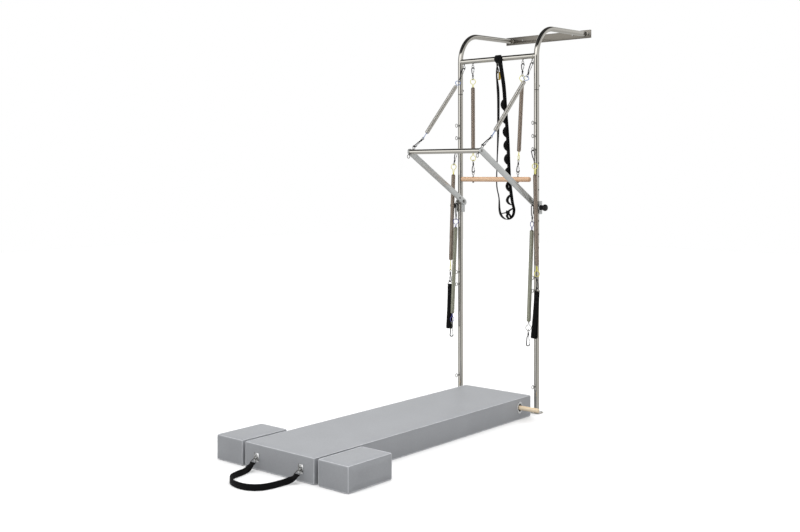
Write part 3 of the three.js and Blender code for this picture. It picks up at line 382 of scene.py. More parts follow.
def blend_colour(tree, factor, dark, light):
    """Mixes two colours by a factor socket and gives the result."""
    mixed = add(tree, "Mix", {0: factor}, data_type="RGBA")
    for socket, colour in (("A", dark), ("B", light)):
        target = [s for s in mixed.inputs if s.name == socket and s.type == "RGBA"][0]
        if isinstance(colour, bpy.types.NodeSocket):
            tree.links.new(colour, target)
        else:
            target.default_value = colour
    return [s for s in mixed.outputs if s.type == "RGBA"][0]


def spread(tree, value, low, high, out_low, out_high):
    """Maps a value from one range to another, held at the ends."""
    ends = {"Value": value, "From Min": low, "From Max": high, "To Min": out_low, "To Max": out_high}
    return add(tree, "MapRange", ends).outputs["Result"]


def stretched_noise(tree, scale, stretch=(1, 1, 1), detail=3.0):
    """Noise on object coordinates. scale is how many grains there are in a metre."""
    where = add(tree, "TexCoord").outputs["Object"]
    mapped = add(tree, "Mapping", {"Vector": where, "Scale": stretch}).outputs["Vector"]
    return add(tree, "TexNoise", {"Vector": mapped, "Scale": scale, "Detail": detail}).outputs["Fac"]


def bumped(tree, surface, height, strength, depth):
    """Gives a surface small relief. depth is its height in millimetres."""
    bump = add(tree, "Bump", {"Height": height, "Strength": strength, "Distance": depth * MM})
    feed(tree, surface, Normal=bump.outputs["Normal"])


# %% [markdown]
# ## Metals
# Stainless tube is polished bright but keeps faint lines from the polishing belt.
# Springs are drawn wire: the push-through pair is bright, the long ones are dulled by oil and handling.
# Eyes and small fittings are nickel plated, the snap hooks are black zinc with a bright gate and ring.
# The arms are satin aluminium flat bar, brushed along their length.


# %% Metal finishes
def metal(name, dark, light, roughness, grain, stretch=(1, 1, 1), relief=0.02):
    """A bare metal whose colour and roughness wander a little between two values.
    grain is the spacing of the marks in millimetres, coarser than real ones so that they show."""
    material, tree, surface = new_finish(name, Metallic=1.0)
    marks = stretched_noise(tree, 1 / (grain * MM), stretch, 4.0)
    cloud = stretched_noise(tree, 9, detail=2.0)
    tone = blend_colour(tree, marks, linear(dark), linear(light))
    wander = spread(tree, cloud, 0.3, 0.7, roughness * 0.8, roughness * 1.25)
    feed(tree, surface, Base_Color=tone, Roughness=wander)
    bumped(tree, surface, marks, 0.35, relief)
    return material


tube_steel = metal("stainless_tube_polished", "#c1beb7", "#d5d2cc", 0.09, 1.6, (1, 1, 0.25), 0.005)
plate_steel = metal("stainless_plate_dark_polished", "#6f6b65", "#85817a", 0.24, 2.0, (0.08, 1, 1))
arm_aluminium = metal("aluminium_bar_brushed", "#d6d8d8", "#e0e2e2", 0.4, 2.4, (1, 0.15, 0.15), 0.008)
nickel = metal("nickel_plate_bright", "#8b8a88", "#b0afac", 0.16, 3.0)
black_zinc = metal("snap_hook_black_zinc", "#1e1e20", "#4c4c4f", 0.2, 3.0)
chrome = metal("chrome_plate_white", "#d2d3d5", "#e6e7e8", 0.22, 3.0)
bright_spring = metal("spring_wire_bright", "#d0cdc7", "#e2dfd9", 0.14, 4.0)
taupe_spring = metal("spring_wire_oiled", "#b1a397", "#c6b9ad", 0.3, 4.0)
grey_spring = metal("spring_wire_nickel_dull", "#b8b9a9", "#cccdbd", 0.3, 4.0)
brass = metal("brass_satin", "#dbb13a", "#f4d873", 0.34, 2.5)
print("metals made")

# %% [markdown]
# ## Plastics, cloth and wood
# The knobs are moulded black nylon. Each spring's strength is told by the colour of its end loops,
# which are dipped in vinyl. Straps are polyester webbing, woven in ribs about 1.6 mm apart:
# real ribs are nearer 1 mm, and are drawn this coarse so that they show. The mat is expanded vinyl on
# firm foam, with an embossed pebble grain, and both bars of wood are rock maple under satin lacquer.


# %% Moulded plastics
def moulded(name, colour, roughness, grain=0.9, relief=0.05):
    material, tree, surface = new_finish(name, Roughness=roughness)
    pebble = stretched_noise(tree, 1 / (grain * MM), detail=2.0)
    cloud = stretched_noise(tree, 30, detail=2.0)
    shade = spread(tree, cloud, 0.3, 0.7, 0.8, 1.0)
    base = add(tree, "VectorMath", {0: linear(colour)[:3]}, operation="SCALE")
    feed(tree, base, Scale=shade)
    feed(tree, surface, Base_Color=base.outputs["Vector"])
    bumped(tree, surface, pebble, 0.3, relief)
    return material


black_nylon = moulded("nylon_moulded_black", "#0e0e10", 0.5)
yellow_dip = moulded("vinyl_dip_yellow", "#f4ec58", 0.35)
blue_dip = moulded("vinyl_dip_blue", "#4a76b8", 0.35)
violet_dip = moulded("vinyl_dip_violet", "#5450a0", 0.35)


# %% Webbing
def webbing_finish(name, colour, light, rib=1.6):
    """Ribs across the strap from the piece's own `along`, and a warp crossing them from `across`."""
    material, tree, surface = new_finish(name, Roughness=0.9, Sheen_Weight=0.04, Specular_IOR_Level=0.2)
    waves = []
    for attribute in ("along", "across"):
        way = add(tree, "Attribute", attribute_name=attribute).outputs["Fac"]
        waves.append(maths(tree, "SINE", maths(tree, "MULTIPLY", way, 2 * pi / (rib * MM))))
    height = spread(tree, maths(tree, "MULTIPLY", *waves), -1, 1, 0, 1)
    worn = maths(tree, "MULTIPLY", height, stretched_noise(tree, 900, detail=3.0))
    feed(tree, surface, Base_Color=blend_colour(tree, worn, linear(colour), linear(light)))
    bumped(tree, surface, height, 0.7, 0.35)
    return material


black_webbing = webbing_finish("polyester_webbing_black", "#040405", "#131315")
thread = moulded("polyester_thread_grey", "#4c4c50", 0.7, 0.5)


# %% Upholstery vinyl
PEBBLE = 2.2


def vinyl_finish():
    """An embossed pebble grain, with a faint mottle where hands and feet have polished it."""
    material, tree, surface = new_finish("expanded_vinyl_grey", Coat_Weight=0.22, Coat_Roughness=0.25)
    where = add(tree, "TexCoord").outputs["Object"]
    pebble = add(tree, "TexVoronoi", {"Vector": where, "Scale": 1 / (PEBBLE * MM)}, feature="SMOOTH_F1")
    mottle = stretched_noise(tree, 7, detail=4.0)
    fine = stretched_noise(tree, 160, detail=2.0)
    tone = spread(tree, maths(tree, "ADD", mottle, fine), 0.7, 1.3, 0, 1)
    shade = blend_colour(tree, tone, linear("#95979b"), linear("#9ea0a4"))
    feed(tree, surface, Base_Color=shade, Roughness=spread(tree, mottle, 0.3, 0.7, 0.5, 0.62))
    bumped(tree, surface, pebble.outputs["Distance"], 0.15, 0.15)
    return material


grey_vinyl = vinyl_finish()
# The welt's vinyl is painted much lighter than the cover: a painted highlight along the piped edges, not
# the welt's own colour.
welt_vinyl_painted_highlight = moulded("vinyl_welt_painted_highlight", "#ccced2", 0.22, 0.8)


# %% Maple
def maple_finish(name, pale, deep, ring_width=9):
    """Growth rings drawn out along the bar, with fine pores between them."""
    material, tree, surface = new_finish(name, Coat_Weight=0.25, Coat_Roughness=0.25)
    where = add(tree, "TexCoord").outputs["Object"]
    drawn_out = add(tree, "Mapping", {"Vector": where, "Scale": (0.06, 1, 1)}).outputs["Vector"]
    wave = {"Vector": drawn_out, "Scale": 1 / (ring_width * MM) / 6, "Distortion": 6.0, "Detail": 3.0}
    rings = add(tree, "TexWave", wave, wave_type="BANDS", bands_direction="Y").outputs["Fac"]
    pores = stretched_noise(tree, 420, (0.04, 1, 1), 4.0)
    figure = spread(tree, maths(tree, "MULTIPLY", rings, pores), 0.1, 0.6, 0, 1)
    shade = blend_colour(tree, figure, linear(pale), linear(deep))
    feed(tree, surface, Base_Color=shade, Roughness=spread(tree, pores, 0.3, 0.7, 0.34, 0.5))
    bumped(tree, surface, pores, 0.2, 0.08)
    return material


bar_maple = maple_finish("maple_lacquered", "#e8c3a0", "#d5a37a")
dowel_maple = maple_finish("maple_pale", "#ecd9bb", "#d9bd95")
print("finishes made:", len(bpy.data.materials))

# %% [markdown]
# ## Posts
# Each post is 31.75 mm stainless tube with a real wall. Its eight pin holes are drilled by a Boolean,
# because a dark disc would not show the wall's thickness. Seven eye bolts stand out of its front, and
# a turned shoulder at the foot of each hides where the thread enters the tube.

# %% Eye bolts
TUBE_WALL = 2.1
EYE_REACH = 41.5
EYE_R, EYE_WIRE = 10.5, 4
SHOULDER = 5.6


def eye_bolt(bm, start, centre, finish=0):
    """A ring square to X at centre on a shank from start. Both are points in metres."""
    shank = (centre - start).length / MM - EYE_R
    neck = [(0, 0), (SHOULDER, 0), (SHOULDER, 2.2), (3.3, 3.4)]
    neck += [(2.8, shank - 1), (3.1, shank + 1.2), (0, shank + 1.2)]
    put(bm, turned(neck, 20), along(start, centre), finish)
    ring(bm, Matrix.Translation(centre) @ turn_on("Y", 90), EYE_R, EYE_WIRE, finish=finish)


def drilled(bm, cutter):
    """Cuts one closed bmesh out of another and gives the result."""
    pair = []
    for source in (bm, cutter):
        mesh = bpy.data.meshes.new("work")
        bmesh.ops.recalc_face_normals(source, faces=source.faces)
        source.to_mesh(mesh)
        source.free()
        pair.append(bpy.data.objects.new("work", mesh))
        scene.collection.objects.link(pair[-1])
    change = pair[0].modifiers.new("drill", "BOOLEAN")
    change.object = pair[1]
    change.operation = "DIFFERENCE"
    result = bmesh.new()
    result.from_object(pair[0], bpy.context.evaluated_depsgraph_get())
    for thing in pair:
        mesh = thing.data
        bpy.data.objects.remove(thing)
        bpy.data.meshes.remove(mesh)
    return result


# %% Posts with their holes and eyes
SEAM = 1934
UPRIGHT_SHARES = (0.8976, 0.8568, 0.8159, 0.6463, 0.4199, 0.38, 0.0827)
LOWER_HOLES, UPPER_HOLES, PITCH = 0.4705 * SEAM, 0.6908 * SEAM, 80
eye_heights = [SEAM * share for share in UPRIGHT_SHARES]
hole_heights = [LOWER_HOLES + PITCH * i for i in range(5)] + [UPPER_HOLES + PITCH * i for i in range(3)]
BASE_TOP = 6.3
GROOVE = 1.9
PIN_HOLE_R = 5
SPIGOT_R = 13.4

for side, sign in SIDES.items():
    x = sign * post_x
    inner = TUBE_R - TUBE_WALL
    wall = [(inner, BASE_TOP), (TUBE_R, BASE_TOP)]
    wall += [(TUBE_R, SEAM - GROOVE), (TUBE_R - GROOVE, SEAM), (inner, SEAM)]
    holes = bmesh.new()
    for height in hole_heights:
        middle, outside = (Vector((reach, 0, height)) * MM for reach in (0, sign * 2 * TUBE_R))
        rod(holes, middle, outside, PIN_HOLE_R, edge=0.1)
    bm = drilled(turned(wall, 64, closed=True), holes)
    bm.transform(frame_at(x, 0, 0))
    for height in eye_heights:
        eye_bolt(bm, at(x, -TUBE_R + 0.4, height), at(x, -EYE_REACH, height), 1)
    rod(bm, at(x, 0, SEAM - 30), at(x, 0, SEAM + 40), SPIGOT_R, 1, steps=32)
    # A black ring sunk flush in the groove where post and bend meet: a painted shadow of the seam's gap,
    # not a part of the tower.
    ring(bm, frame_at(x, 0, SEAM), TUBE_R - GROOVE, 3.2, finish=2, steps=48)
    ring(bm, frame_at(x, 0, BASE_TOP + 0.4), TUBE_R + 0.4, 3.4, steps=48)
    finishes = [tube_steel, nickel, black_nylon]
    piece(side + "_post", bm, finishes, "frame", [side + "_upright"])

# %% [markdown]
# ## Top bends and crossbar
# A bend is one tube carried up from the seam, round a quarter circle and back to the wall.
# The crossbar is welded between the two bends, and a small bead runs round each end of it.

# %% Top bends
BEND_START, BEND_R, BEND_STEPS, END_RISE = SEAM + 203, 180, 24, 10
WALL_FRONT = 570
CROSSBAR = BEND_START + 3
plate_height = BEND_START + BEND_R + END_RISE
end_y = WALL_FRONT - 0.3
rise = atan2(END_RISE, end_y - BEND_R)
line = [(0, SEAM + 0.3), (0, SEAM + 2.2), (0, (SEAM + BEND_START) / 2)]
for i in range(BEND_STEPS + 1):
    turn = (pi / 2 - rise) * i / BEND_STEPS
    line.append((BEND_R * (1 - cos(turn)), BEND_START + BEND_R * sin(turn)))
line.append((end_y, plate_height))

for side, sign in SIDES.items():
    x = sign * post_x
    narrow = 1 - GROOVE / TUBE_R
    places = places_on([at(x, y, z) for y, z in line], across=lambda here, i: SIDEWAYS)
    places[0] = places[0] @ Matrix.Diagonal((narrow, narrow, 1, 1))
    bm = bmesh.new()
    put(bm, swept(circle(TUBE_R, 48), places))
    foot = along(at(x, end_y - 0.5, plate_height), at(x, end_y + 1, plate_height))
    ring(bm, foot, TUBE_R + 0.3, 3.2, steps=48)
    piece(side + "_bend", bm, [tube_steel], "frame", [side + "_top_bend"], 30)

# %% Crossbar with its five eyes
EYE_DROP = 36
PUSH_EYE, ROLL_EYE = 255, 187
bm = bmesh.new()
rod(bm, at(-post_x + 2, 0, CROSSBAR), at(post_x - 2, 0, CROSSBAR), TUBE_R, steps=48)
for sign in SIDES.values():
    bead = along(at(sign * (post_x - TUBE_R - 1), 0, CROSSBAR), at(0, 0, CROSSBAR))
    ring(bm, bead, TUBE_R - 0.6, 4.4, steps=48)
for x in (-PUSH_EYE, -ROLL_EYE, 0, ROLL_EYE, PUSH_EYE):
    eye_bolt(bm, at(x, 0, CROSSBAR - TUBE_R + 0.6), at(x, 0, CROSSBAR - EYE_DROP), 1)
piece("top_crossbar", bm, [tube_steel, nickel], "frame", ["crossbar"])

# %% [markdown]
# ## Wall plate, base plates and seam screws
# The wall plate is a flat bar with four pan-head screws, and its face is left plain.
# Plates are cubes with bevelled edges: the bevel is small, yet it makes a plate look cut from metal.


# %% Screws and plates
def pan_head(bm, base, tip, radius, height, finish):
    """A domed screw head standing on base towards tip."""
    shape = [(0, 0), (1, 0), (1, 0.4), (0.72, 0.9), (0.3, 1), (0, 1)]
    put(bm, turned([(r * radius, h * height) for r, h in shape], 24), along(base, tip), finish)


bm = bmesh.new()
slab(bm, at(0, WALL_FRONT + 4, plate_height), (650, 8, 52), 1.2)
for x in (-312, -192, 192, 312):
    pan_head(bm, at(x, WALL_FRONT + 0.2, plate_height), at(x, WALL_FRONT - 9, plate_height), 7, 4.2, 1)
piece("wall_bar", bm, [plate_steel, nickel], "frame", ["wall_plate"])

for side, sign in SIDES.items():
    x = sign * post_x
    bm = bmesh.new()
    part = box((64, 64, 6))
    corners = [e for e in part.edges if abs(e.verts[0].co.z - e.verts[1].co.z) > MM]
    bevelled(part, corners, 8, 1)
    bevelled(part, part.edges[:], 0.7)
    put(bm, part, frame_at(x, 0, 3))
    for dx in (-21, 21):
        for dy in (-21, 21):
            pan_head(bm, at(x + dx, dy, 5.8), at(x + dx, dy, 20), 5.4, 2.6, 1)
    stands_for = [side + "_base_plate"]
    piece(side + "_foot_plate", bm, [tube_steel, nickel], "frame", stands_for)

    bm = bmesh.new()
    knurled = turned(softened([(0, 0), (3, 0), (3, 3), (8, 3), (8, 11), (0, 11)], 1), 20)
    height = SEAM + 26
    put(bm, knurled, along(at(x, TUBE_R - 2.5, height), at(x, 60, height)))
    piece(side + "_thumb_screw", bm, [black_nylon], "frame", [side + "_seam_screw"])

# %% [markdown]
# ## Carriages and pull pins
# A carriage is a folded steel channel that wraps the back of the post. The pull pin passes through its
# boss into one of the post's holes, and ends in a mushroom knob. The push-through bar's arm turns on a
# shoulder bolt in the channel's inner wall.

# %% Carriages
PIN = LOWER_HOLES + 4 * PITCH
PIVOT = PIN + 28
SLIP = 0.6
SLIDER_TALL = 78
OUTER = TUBE_R + 7
ARM_OUTER = post_x - TUBE_R - 4.1
ARM_THICK = 8
ARM_INNER = ARM_OUTER - ARM_THICK
KNOB = [
    (0, 0), (10.6, 0), (10, 3), (9.6, 8), (15, 9.5), (19.2, 12.5),
    (20, 17), (19.5, 23), (17, 28), (11, 31.2), (0, 32),
]

for side, sign in SIDES.items():

    def out(reach, y, z, sign=sign):
        return at(sign * (post_x + reach), y, z)

    inner_face = -TUBE_R - SLIP
    back = TUBE_R + SLIP
    depth = back + 3 + 12
    bm = bmesh.new()
    slab(bm, out(inner_face - 1.5, back + 3 - depth / 2, PIN), (3, depth, SLIDER_TALL), 0.7)
    slab(bm, out(OUTER + 2, back + 3 - depth / 2, PIN), (4, depth, SLIDER_TALL), 0.9)
    width = OUTER + 4 - inner_face + 3
    slab(bm, out(inner_face - 3 + width / 2, back + 1.5, PIN), (width, 3, SLIDER_TALL), 0.7)
    rod(bm, out(TUBE_R + 0.5, 0, PIN), out(OUTER + 1, 0, PIN), 10)
    rod(bm, out(OUTER + 3, 0, PIN), out(OUTER + 18, 0, PIN), 15.5, 1, edge=1.2, steps=40)
    for height in (PIN - 26, PIN + 26):
        pan_head(bm, out(OUTER + 3.8, 0, height), out(OUTER + 20, 0, height), 4, 2.4, 0)
    finishes = [arm_aluminium, black_nylon]
    piece(side + "_slider", bm, finishes, "frame", [side + "_carriage"])

    bm = bmesh.new()
    start = OUTER + 18.3
    put(bm, turned(KNOB, 40), along(out(start, 0, PIN), out(start + 50, 0, PIN)))
    rod(bm, out(TUBE_R - TUBE_WALL - 8, 0, PIN), out(start + 2, 0, PIN), 4.2, 1)
    finishes = [black_nylon, nickel]
    piece(side + "_knob", bm, finishes, side + "_pin", [side + "_pull_pin"])

    bm = bmesh.new()
    head = at(sign * (ARM_INNER - 0.3), 0, PIVOT)
    tip = at(sign * (ARM_INNER - 30), 0, PIVOT)
    washer = [(0, 0), (10.5, 0), (10.5, 1.2), (0, 1.2)]
    put(bm, turned(softened(washer, 0.3), 32), along(head, tip))
    put(bm, turned(softened([(0, 1), (9, 1), (9, 5.3), (0, 5.3)], 0.8), 6), along(head, tip))
    rod(bm, head, at(sign * (post_x - TUBE_R - SLIP), 0, PIVOT), 5)
    piece(side + "_shoulder_bolt", bm, [nickel], "frame", [side + "_pivot_bolt"], 25)

# %% [markdown]
# ## Push-through bar
# Two flat aluminium arms carry a steel tube with four welded eyes. It is drawn lying along -Y from its
# pivot and then tilted up to where it rests, which keeps every number plain.

# %% Push-through bar
ARM_LENGTH, ARM_ANGLE = 611, 29.8
BAR_R = 28.6 / 2
BAR_EYE = 37
EYE_TILT = 48
tilted = frame_at(0, 0, PIVOT) @ turn_on("X", -ARM_ANGLE)


def on_bar(x, y, z):
    return tilted @ (Vector((x, y, z)) * MM)


bm = bmesh.new()
reach = ARM_INNER - 0.3
rod(bm, on_bar(-reach, -ARM_LENGTH, 0), on_bar(reach, -ARM_LENGTH, 0), BAR_R, steps=48, edge=1)
eye_turn = radians(EYE_TILT + ARM_ANGLE)
for sign in SIDES.values():
    for way in (1, -1):
        x = sign * (reach - 5.5)
        spoke = Vector((0, cos(eye_turn), sin(eye_turn))) * way
        foot, tip = (Vector((x, -ARM_LENGTH, 0)) + spoke * r for r in (BAR_R - 0.8, BAR_EYE))
        eye_bolt(bm, on_bar(*foot), on_bar(*tip), 1)
piece("push_through_bar", bm, [tube_steel, nickel], "push_bar", ["push_bar"])

for side, sign in SIDES.items():
    part = bmesh.new()
    half, tail = 19, 28
    outline = []
    for centre, first in ((half - tail, 90), (ARM_LENGTH, -90)):
        outline += [(0, -(centre + y), z) for y, z in arc(half, first, 180, 16)]
    face = part.faces.new([part.verts.new(Vector(p) * MM) for p in outline])
    grown = bmesh.ops.extrude_face_region(part, geom=[face])["geom"]
    bmesh.ops.translate(part, vec=(ARM_THICK * MM, 0, 0), verts=only(bmesh.types.BMVert, grown))
    bevelled(part, [e for e in part.edges if e.is_manifold and e.calc_face_angle(0) > 1], 0.8)
    bm = bmesh.new()
    inset = ARM_INNER if sign > 0 else -ARM_OUTER
    put(bm, part, tilted @ Matrix.Translation((inset * MM, 0, 0)))
    screws = [(ARM_OUTER, 1, -ARM_LENGTH, 8, 2.2), (ARM_OUTER, 1, -46, 7, 3), (ARM_INNER, -1, -46, 7, 3)]
    for x, way, y, radius, height in screws:
        pan_head(bm, on_bar(sign * x, y, 0), on_bar(sign * (x + way * 9), y, 0), radius, height, 1)
    finishes = [arm_aluminium, nickel]
    piece(side + "_flat_arm", bm, finishes, "push_bar", [side + "_push_arm"])

# %% [markdown]
# ## Springs
# An extension spring is close wound: each turn lies on the last. Spinning a small circle of wire
# about the axis while it steps down by one wire's thickness a turn gives exactly that helix.
# The last turns close in to a dome, and a dipped wire loop stands out of it at each end.

# %% Spring shapes
WIRE, LOOP_WIRE = 3.2, 1.9
COIL_R = 12.8 - WIRE / 2
DOME = 11
LOOP_R = 16
RUN_TURNS = 8
HELD = 13
# A loop or a claw lies off the wire that it holds by half of both wires and a small gap.
LIFT = 3.6 / 2 + WIRE / 2 + 0.8
HOOK_LIFT = EYE_WIRE / 2 + 2.2 + 0.8
# How far an end loop is turned about its spring, in degrees, as the camera sees it.
FACING, EDGE_ON, BETWEEN = 38, -40, 84


def down(place, distance):
    return place @ Matrix.Translation((0, 0, -distance * MM))


def coil(length, steps=12, sides=6):
    """A close-wound coil down -Z from the origin: one run of turns, repeated to the full length."""
    runs = round(length / (WIRE * 1.02 * RUN_TURNS))
    run = Vector((0, 0, -length * MM / runs))
    part = bmesh.new()
    stand = Matrix.Translation((COIL_R * MM, 0, 0)) @ turn_on("X", 90)
    bmesh.ops.create_circle(part, segments=sides, radius=WIRE / 2 * MM, matrix=stand)
    bmesh.ops.spin(
        part,
        geom=part.verts[:] + part.edges[:],
        axis=(0, 0, 1),
        dvec=run / (RUN_TURNS * steps),
        angle=2 * pi * RUN_TURNS,
        steps=RUN_TURNS * steps,
        use_merge=False,
    )
    first = part.verts[:] + part.edges[:] + part.faces[:]
    for i in range(1, runs):
        copy = bmesh.ops.duplicate(part, geom=first)["geom"]
        bmesh.ops.translate(part, vec=run * i, verts=only(bmesh.types.BMVert, copy))
    joined(part)
    bmesh.ops.holes_fill(part, edges=[e for e in part.edges if e.is_boundary], sides=sides)
    for vert in part.verts:
        depth = max(0, min(-vert.co.z, vert.co.z + length * MM)) / MM
        if depth < DOME:
            share = sqrt(1 - (1 - depth / DOME) ** 2)
            radius = Vector((vert.co.x, vert.co.y)).length
            closer = max(radius - COIL_R * MM * (1 - share), 0.2 * MM) / radius
            vert.co.x *= closer
            vert.co.y *= closer
    return part


def end_loop(bm, place, neck, finish):
    """A dipped wire loop over the wire at the place's origin, and its shank down to the coil."""
    centre = LIFT - WIRE / 2 + LOOP_WIRE - LOOP_R
    foot = LIFT - 2 * HELD - neck - 4
    path = [(x, centre - z) for z, x in arc(LOOP_R, 16, 328, 24)]
    path = [(x, 0, z) for x, z in [(1.2, foot)] + path + [(-1.2, foot)]]
    wire(bm, moved(place, path), LOOP_WIRE, finish=finish, count=8)


def spring_span(length, neck):
    """From the wire that holds a spring to the wire that it holds, for a coil of this length."""
    return length + 2 * (neck + 2 * HELD - LIFT)


def spring(name, place, length, neck, finishes, body, lower, node, turns):
    """Loop, coil and loop down the place's -Z. body and lower are not used: the piece is attached to no
    body.
    turns are the upper and the lower loop's own turns about the spring, in degrees."""
    bm = bmesh.new()
    above = neck + 2 * HELD - LIFT
    put(bm, coil(length), down(place, above))
    end_loop(bm, place @ turn_on("Z", turns[0]), neck, 1)
    under = down(place, spring_span(length, neck)) @ turn_on("X", 180)
    end_loop(bm, under @ turn_on("Z", -turns[1]), neck, len(finishes) - 1)
    thing = piece(name, bm, finishes, None, [node], 60)
    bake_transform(thing)


# %% [markdown]
# ## Snap hooks
# Each spring hangs on a swivel snap: a bent claw with a sprung gate, a barrel that turns, and a small
# ring. The claw is one thick wire, and the gate is a thinner straight wire with a nub.

# %% Snap hook shapes
CLAW_R = 9.5


def snap_hook(bm, place, length, turn=0):
    """A snap down the place's -Z: its claw holds a wire at the origin, its ring the wire at the end.
    turn is the claw's own turn about the hook's axis, in degrees. The gate and the ring are bright."""
    claw = place @ turn_on("Z", turn)
    centre = HOOK_LIFT + 0.5 - CLAW_R
    barrel = -length + 30
    path = [(0, barrel), (0, barrel + 5), (-6.4, barrel + 13), (-8.6, centre - 6)]
    path += [(x, centre + z) for x, z in arc(CLAW_R, 180, -201.6, 12)]
    wire(bm, moved(claw, smooth_path([(x, 0, z) for x, z in path], 2)), 3)
    gate_top = Vector((8.2, 0, centre - 5))
    gate_foot = Vector((3.2, 0, barrel + 9))
    nub = (gate_top + gate_foot) / 2
    gate = (gate_top, nub, gate_foot, (0, 0, barrel + 5))
    wire(bm, moved(claw, gate), 1.7, finish=1, count=8)
    rod(bm, *moved(claw, (nub, nub + Vector((4.6, 0, 1)))), 1.6, edge=0.5, steps=12)
    swivel = [(0, 0), (5.6, 0), (5.6, 2), (4.2, 3), (4.2, 8.6), (6, 9.6), (6, 13), (0, 13)]
    put(bm, turned(softened(swivel, 0.5), 20), down(place, 11 - barrel))
    loop = [(y, 7.6 - length + z) for z, y in arc(7.6, 24, 312, 20)]
    loop = [(0, y, z) for y, z in [(1.3, barrel - 10)] + loop + [(-1.3, barrel - 10)]]
    wire(bm, moved(place, loop), LOOP_WIRE, finish=1, count=8)


def hung_from(centre, normal, radius, way):
    """A frame on a ring's wire, in millimetres: -Z along way, XZ square to the wire."""
    pull = (way - normal * way.dot(normal)).normalized()
    up = -way.normalized()
    across = (-pull).cross(normal).normalized()
    turn = Matrix((across.cross(up), across, up)).transposed().to_4x4()
    return Matrix.Translation(origin + (centre + pull * radius) * MM) @ turn


def hook_piece(name, place, length, body, node, turn=0):
    bm = bmesh.new()
    snap_hook(bm, place, length, turn)
    piece(name, bm, [black_zinc, nickel], body, [node])


# %% [markdown]
# ## Springs held at both ends
# The push-through springs lean out to the bar, the roll-down springs hang almost straight.
# Each has a hook, the spring and a hook between two eyes, so the hooks take what is left. A leaning
# spring is heavy enough to sag: its upper hook hangs steeper than it, and its lower hook lies flatter.


# %% Push-through and roll-down springs
SWIVEL_R = 6.5


def held_spring(side, kind, top, bottom, share, neck, sag, finishes, bodies, turns):
    """share is how much of the way between the eyes is coil. sag is the hooks' lean, in degrees."""
    reach = (bottom - top).length
    length = share * (reach - 2 * EYE_R)
    sag = radians(sag)
    hook = (reach - spring_span(length, neck) - 2 * SWIVEL_R) / (2 * cos(sag)) - EYE_R + SWIVEL_R
    way = (bottom - top).normalized()
    steep, flat = (Matrix.Rotation(turn, 3, "X") @ way for turn in (sag, -sag))
    upper = hung_from(top, SIDEWAYS, EYE_R, steep)
    lower = hung_from(bottom, SIDEWAYS, EYE_R, -flat)
    swivel = (down(upper, hook - SWIVEL_R).translation - origin) / MM
    place = hung_from(swivel, upper.to_3x3() @ SIDEWAYS, SWIVEL_R, way)
    upper_body, spring_bodies, lower_body = bodies
    name = side + "_" + kind
    hook_piece(name + "_top_snap", upper, hook, upper_body, name + "_upper_hook")
    spring(name + "_coil", place, length, neck, finishes, *spring_bodies, name + "_spring", turns)
    hook_piece(name + "_bottom_snap", lower, hook, lower_body, name + "_lower_hook")


ROLL_BAR, ROLL_Y = CROSSBAR - 742, -24
ROLL_EYE_X, ROLL_EYE_UP = 167, 38
arm, eye_way = radians(ARM_ANGLE), radians(EYE_TILT)
bar_y = -ARM_LENGTH * cos(arm) + BAR_EYE * cos(eye_way)
bar_z = PIVOT + ARM_LENGTH * sin(arm) + BAR_EYE * sin(eye_way)
for side, sign in SIDES.items():
    push_top = Vector((sign * PUSH_EYE, 0, CROSSBAR - EYE_DROP))
    push_low = Vector((sign * (ARM_INNER - 5.8), bar_y, bar_z))
    held_spring(
        side, "push", push_top, push_low, 0.611, 17, 13.5, [bright_spring, blue_dip],
        ("push_upper_hooks", ("push_upper_hooks", "push_springs"), "push_lower_hooks"),
        (FACING, EDGE_ON),
    )
    roll_top = Vector((sign * ROLL_EYE, 0, CROSSBAR - EYE_DROP))
    roll_low = Vector((sign * ROLL_EYE_X, ROLL_Y, ROLL_BAR + ROLL_EYE_UP))
    held_spring(
        side, "roll", roll_top, roll_low, 0.636, 24, 0, [taupe_spring, yellow_dip],
        ("roll_upper_hooks", ("roll_upper_hooks", "roll_down_bar"), "roll_down_bar"),
        (FACING, EDGE_ON if side == "right" else FACING),
    )

# %% [markdown]
# ## Leg and arm springs
# These hang free from the posts. A leg spring ends in a webbing foot loop, an arm spring in a bare snap.

# %% Leg and arm springs
LONG, LEG_NECK, ARM_NECK = 545, 36, 24
LEG_HOOK, ARM_HOOK = 82, 96
leg_loops = {}


def free_spring(name, hook, hook_length, place, neck, finishes, turns, snap, snap_turn):
    """Upper hook, spring and lower snap. Gives the place of the wire that the snap holds."""
    upper, lower = name + "_upper", name + "_lower"
    hook_piece(name + "_top_snap", hook, hook_length, upper, name + "_upper_hook")
    spring(name + "_coil", place, LONG, neck, finishes, upper, lower, name + "_spring", turns)
    end = down(place, spring_span(LONG, neck) + snap)
    hook_piece(name + "_low_snap", end @ turn_on("X", 180), snap, lower, name + "_snap", snap_turn)
    return end


for side, sign in SIDES.items():
    on_right = side == "right"
    leg_eye, arm_eye = (Vector((sign * post_x, -EYE_REACH, eye_heights[i])) for i in (2, 3))
    hook = hung_from(leg_eye, SIDEWAYS, EYE_R, Vector((sign * 19, -5, -82)).normalized())
    swivel = (down(hook, LEG_HOOK - SWIVEL_R).translation - origin) / MM
    way = Vector((sign * 20, -8, -spring_span(LONG, LEG_NECK))).normalized()
    place = hung_from(swivel, hook.to_3x3() @ SIDEWAYS, SWIVEL_R, way)
    end = free_spring(
        side + "_leg", hook, LEG_HOOK, place, LEG_NECK, [taupe_spring, yellow_dip],
        (FACING, FACING if on_right else EDGE_ON), 72, 90,
    )
    leg_loops[side] = end @ turn_on("X", -2.8) @ turn_on("Y", sign * 3.6)

    tilt = radians(3.6)
    hook = hung_from(arm_eye, SIDEWAYS, EYE_R, Vector((0, -sin(tilt), -cos(tilt))))
    free_spring(
        side + "_arm", hook, ARM_HOOK, down(hook, ARM_HOOK), ARM_NECK,
        [grey_spring, violet_dip] + [nickel] * on_right,
        (BETWEEN, FACING) if on_right else (FACING, BETWEEN), 90, -FACING,
    )

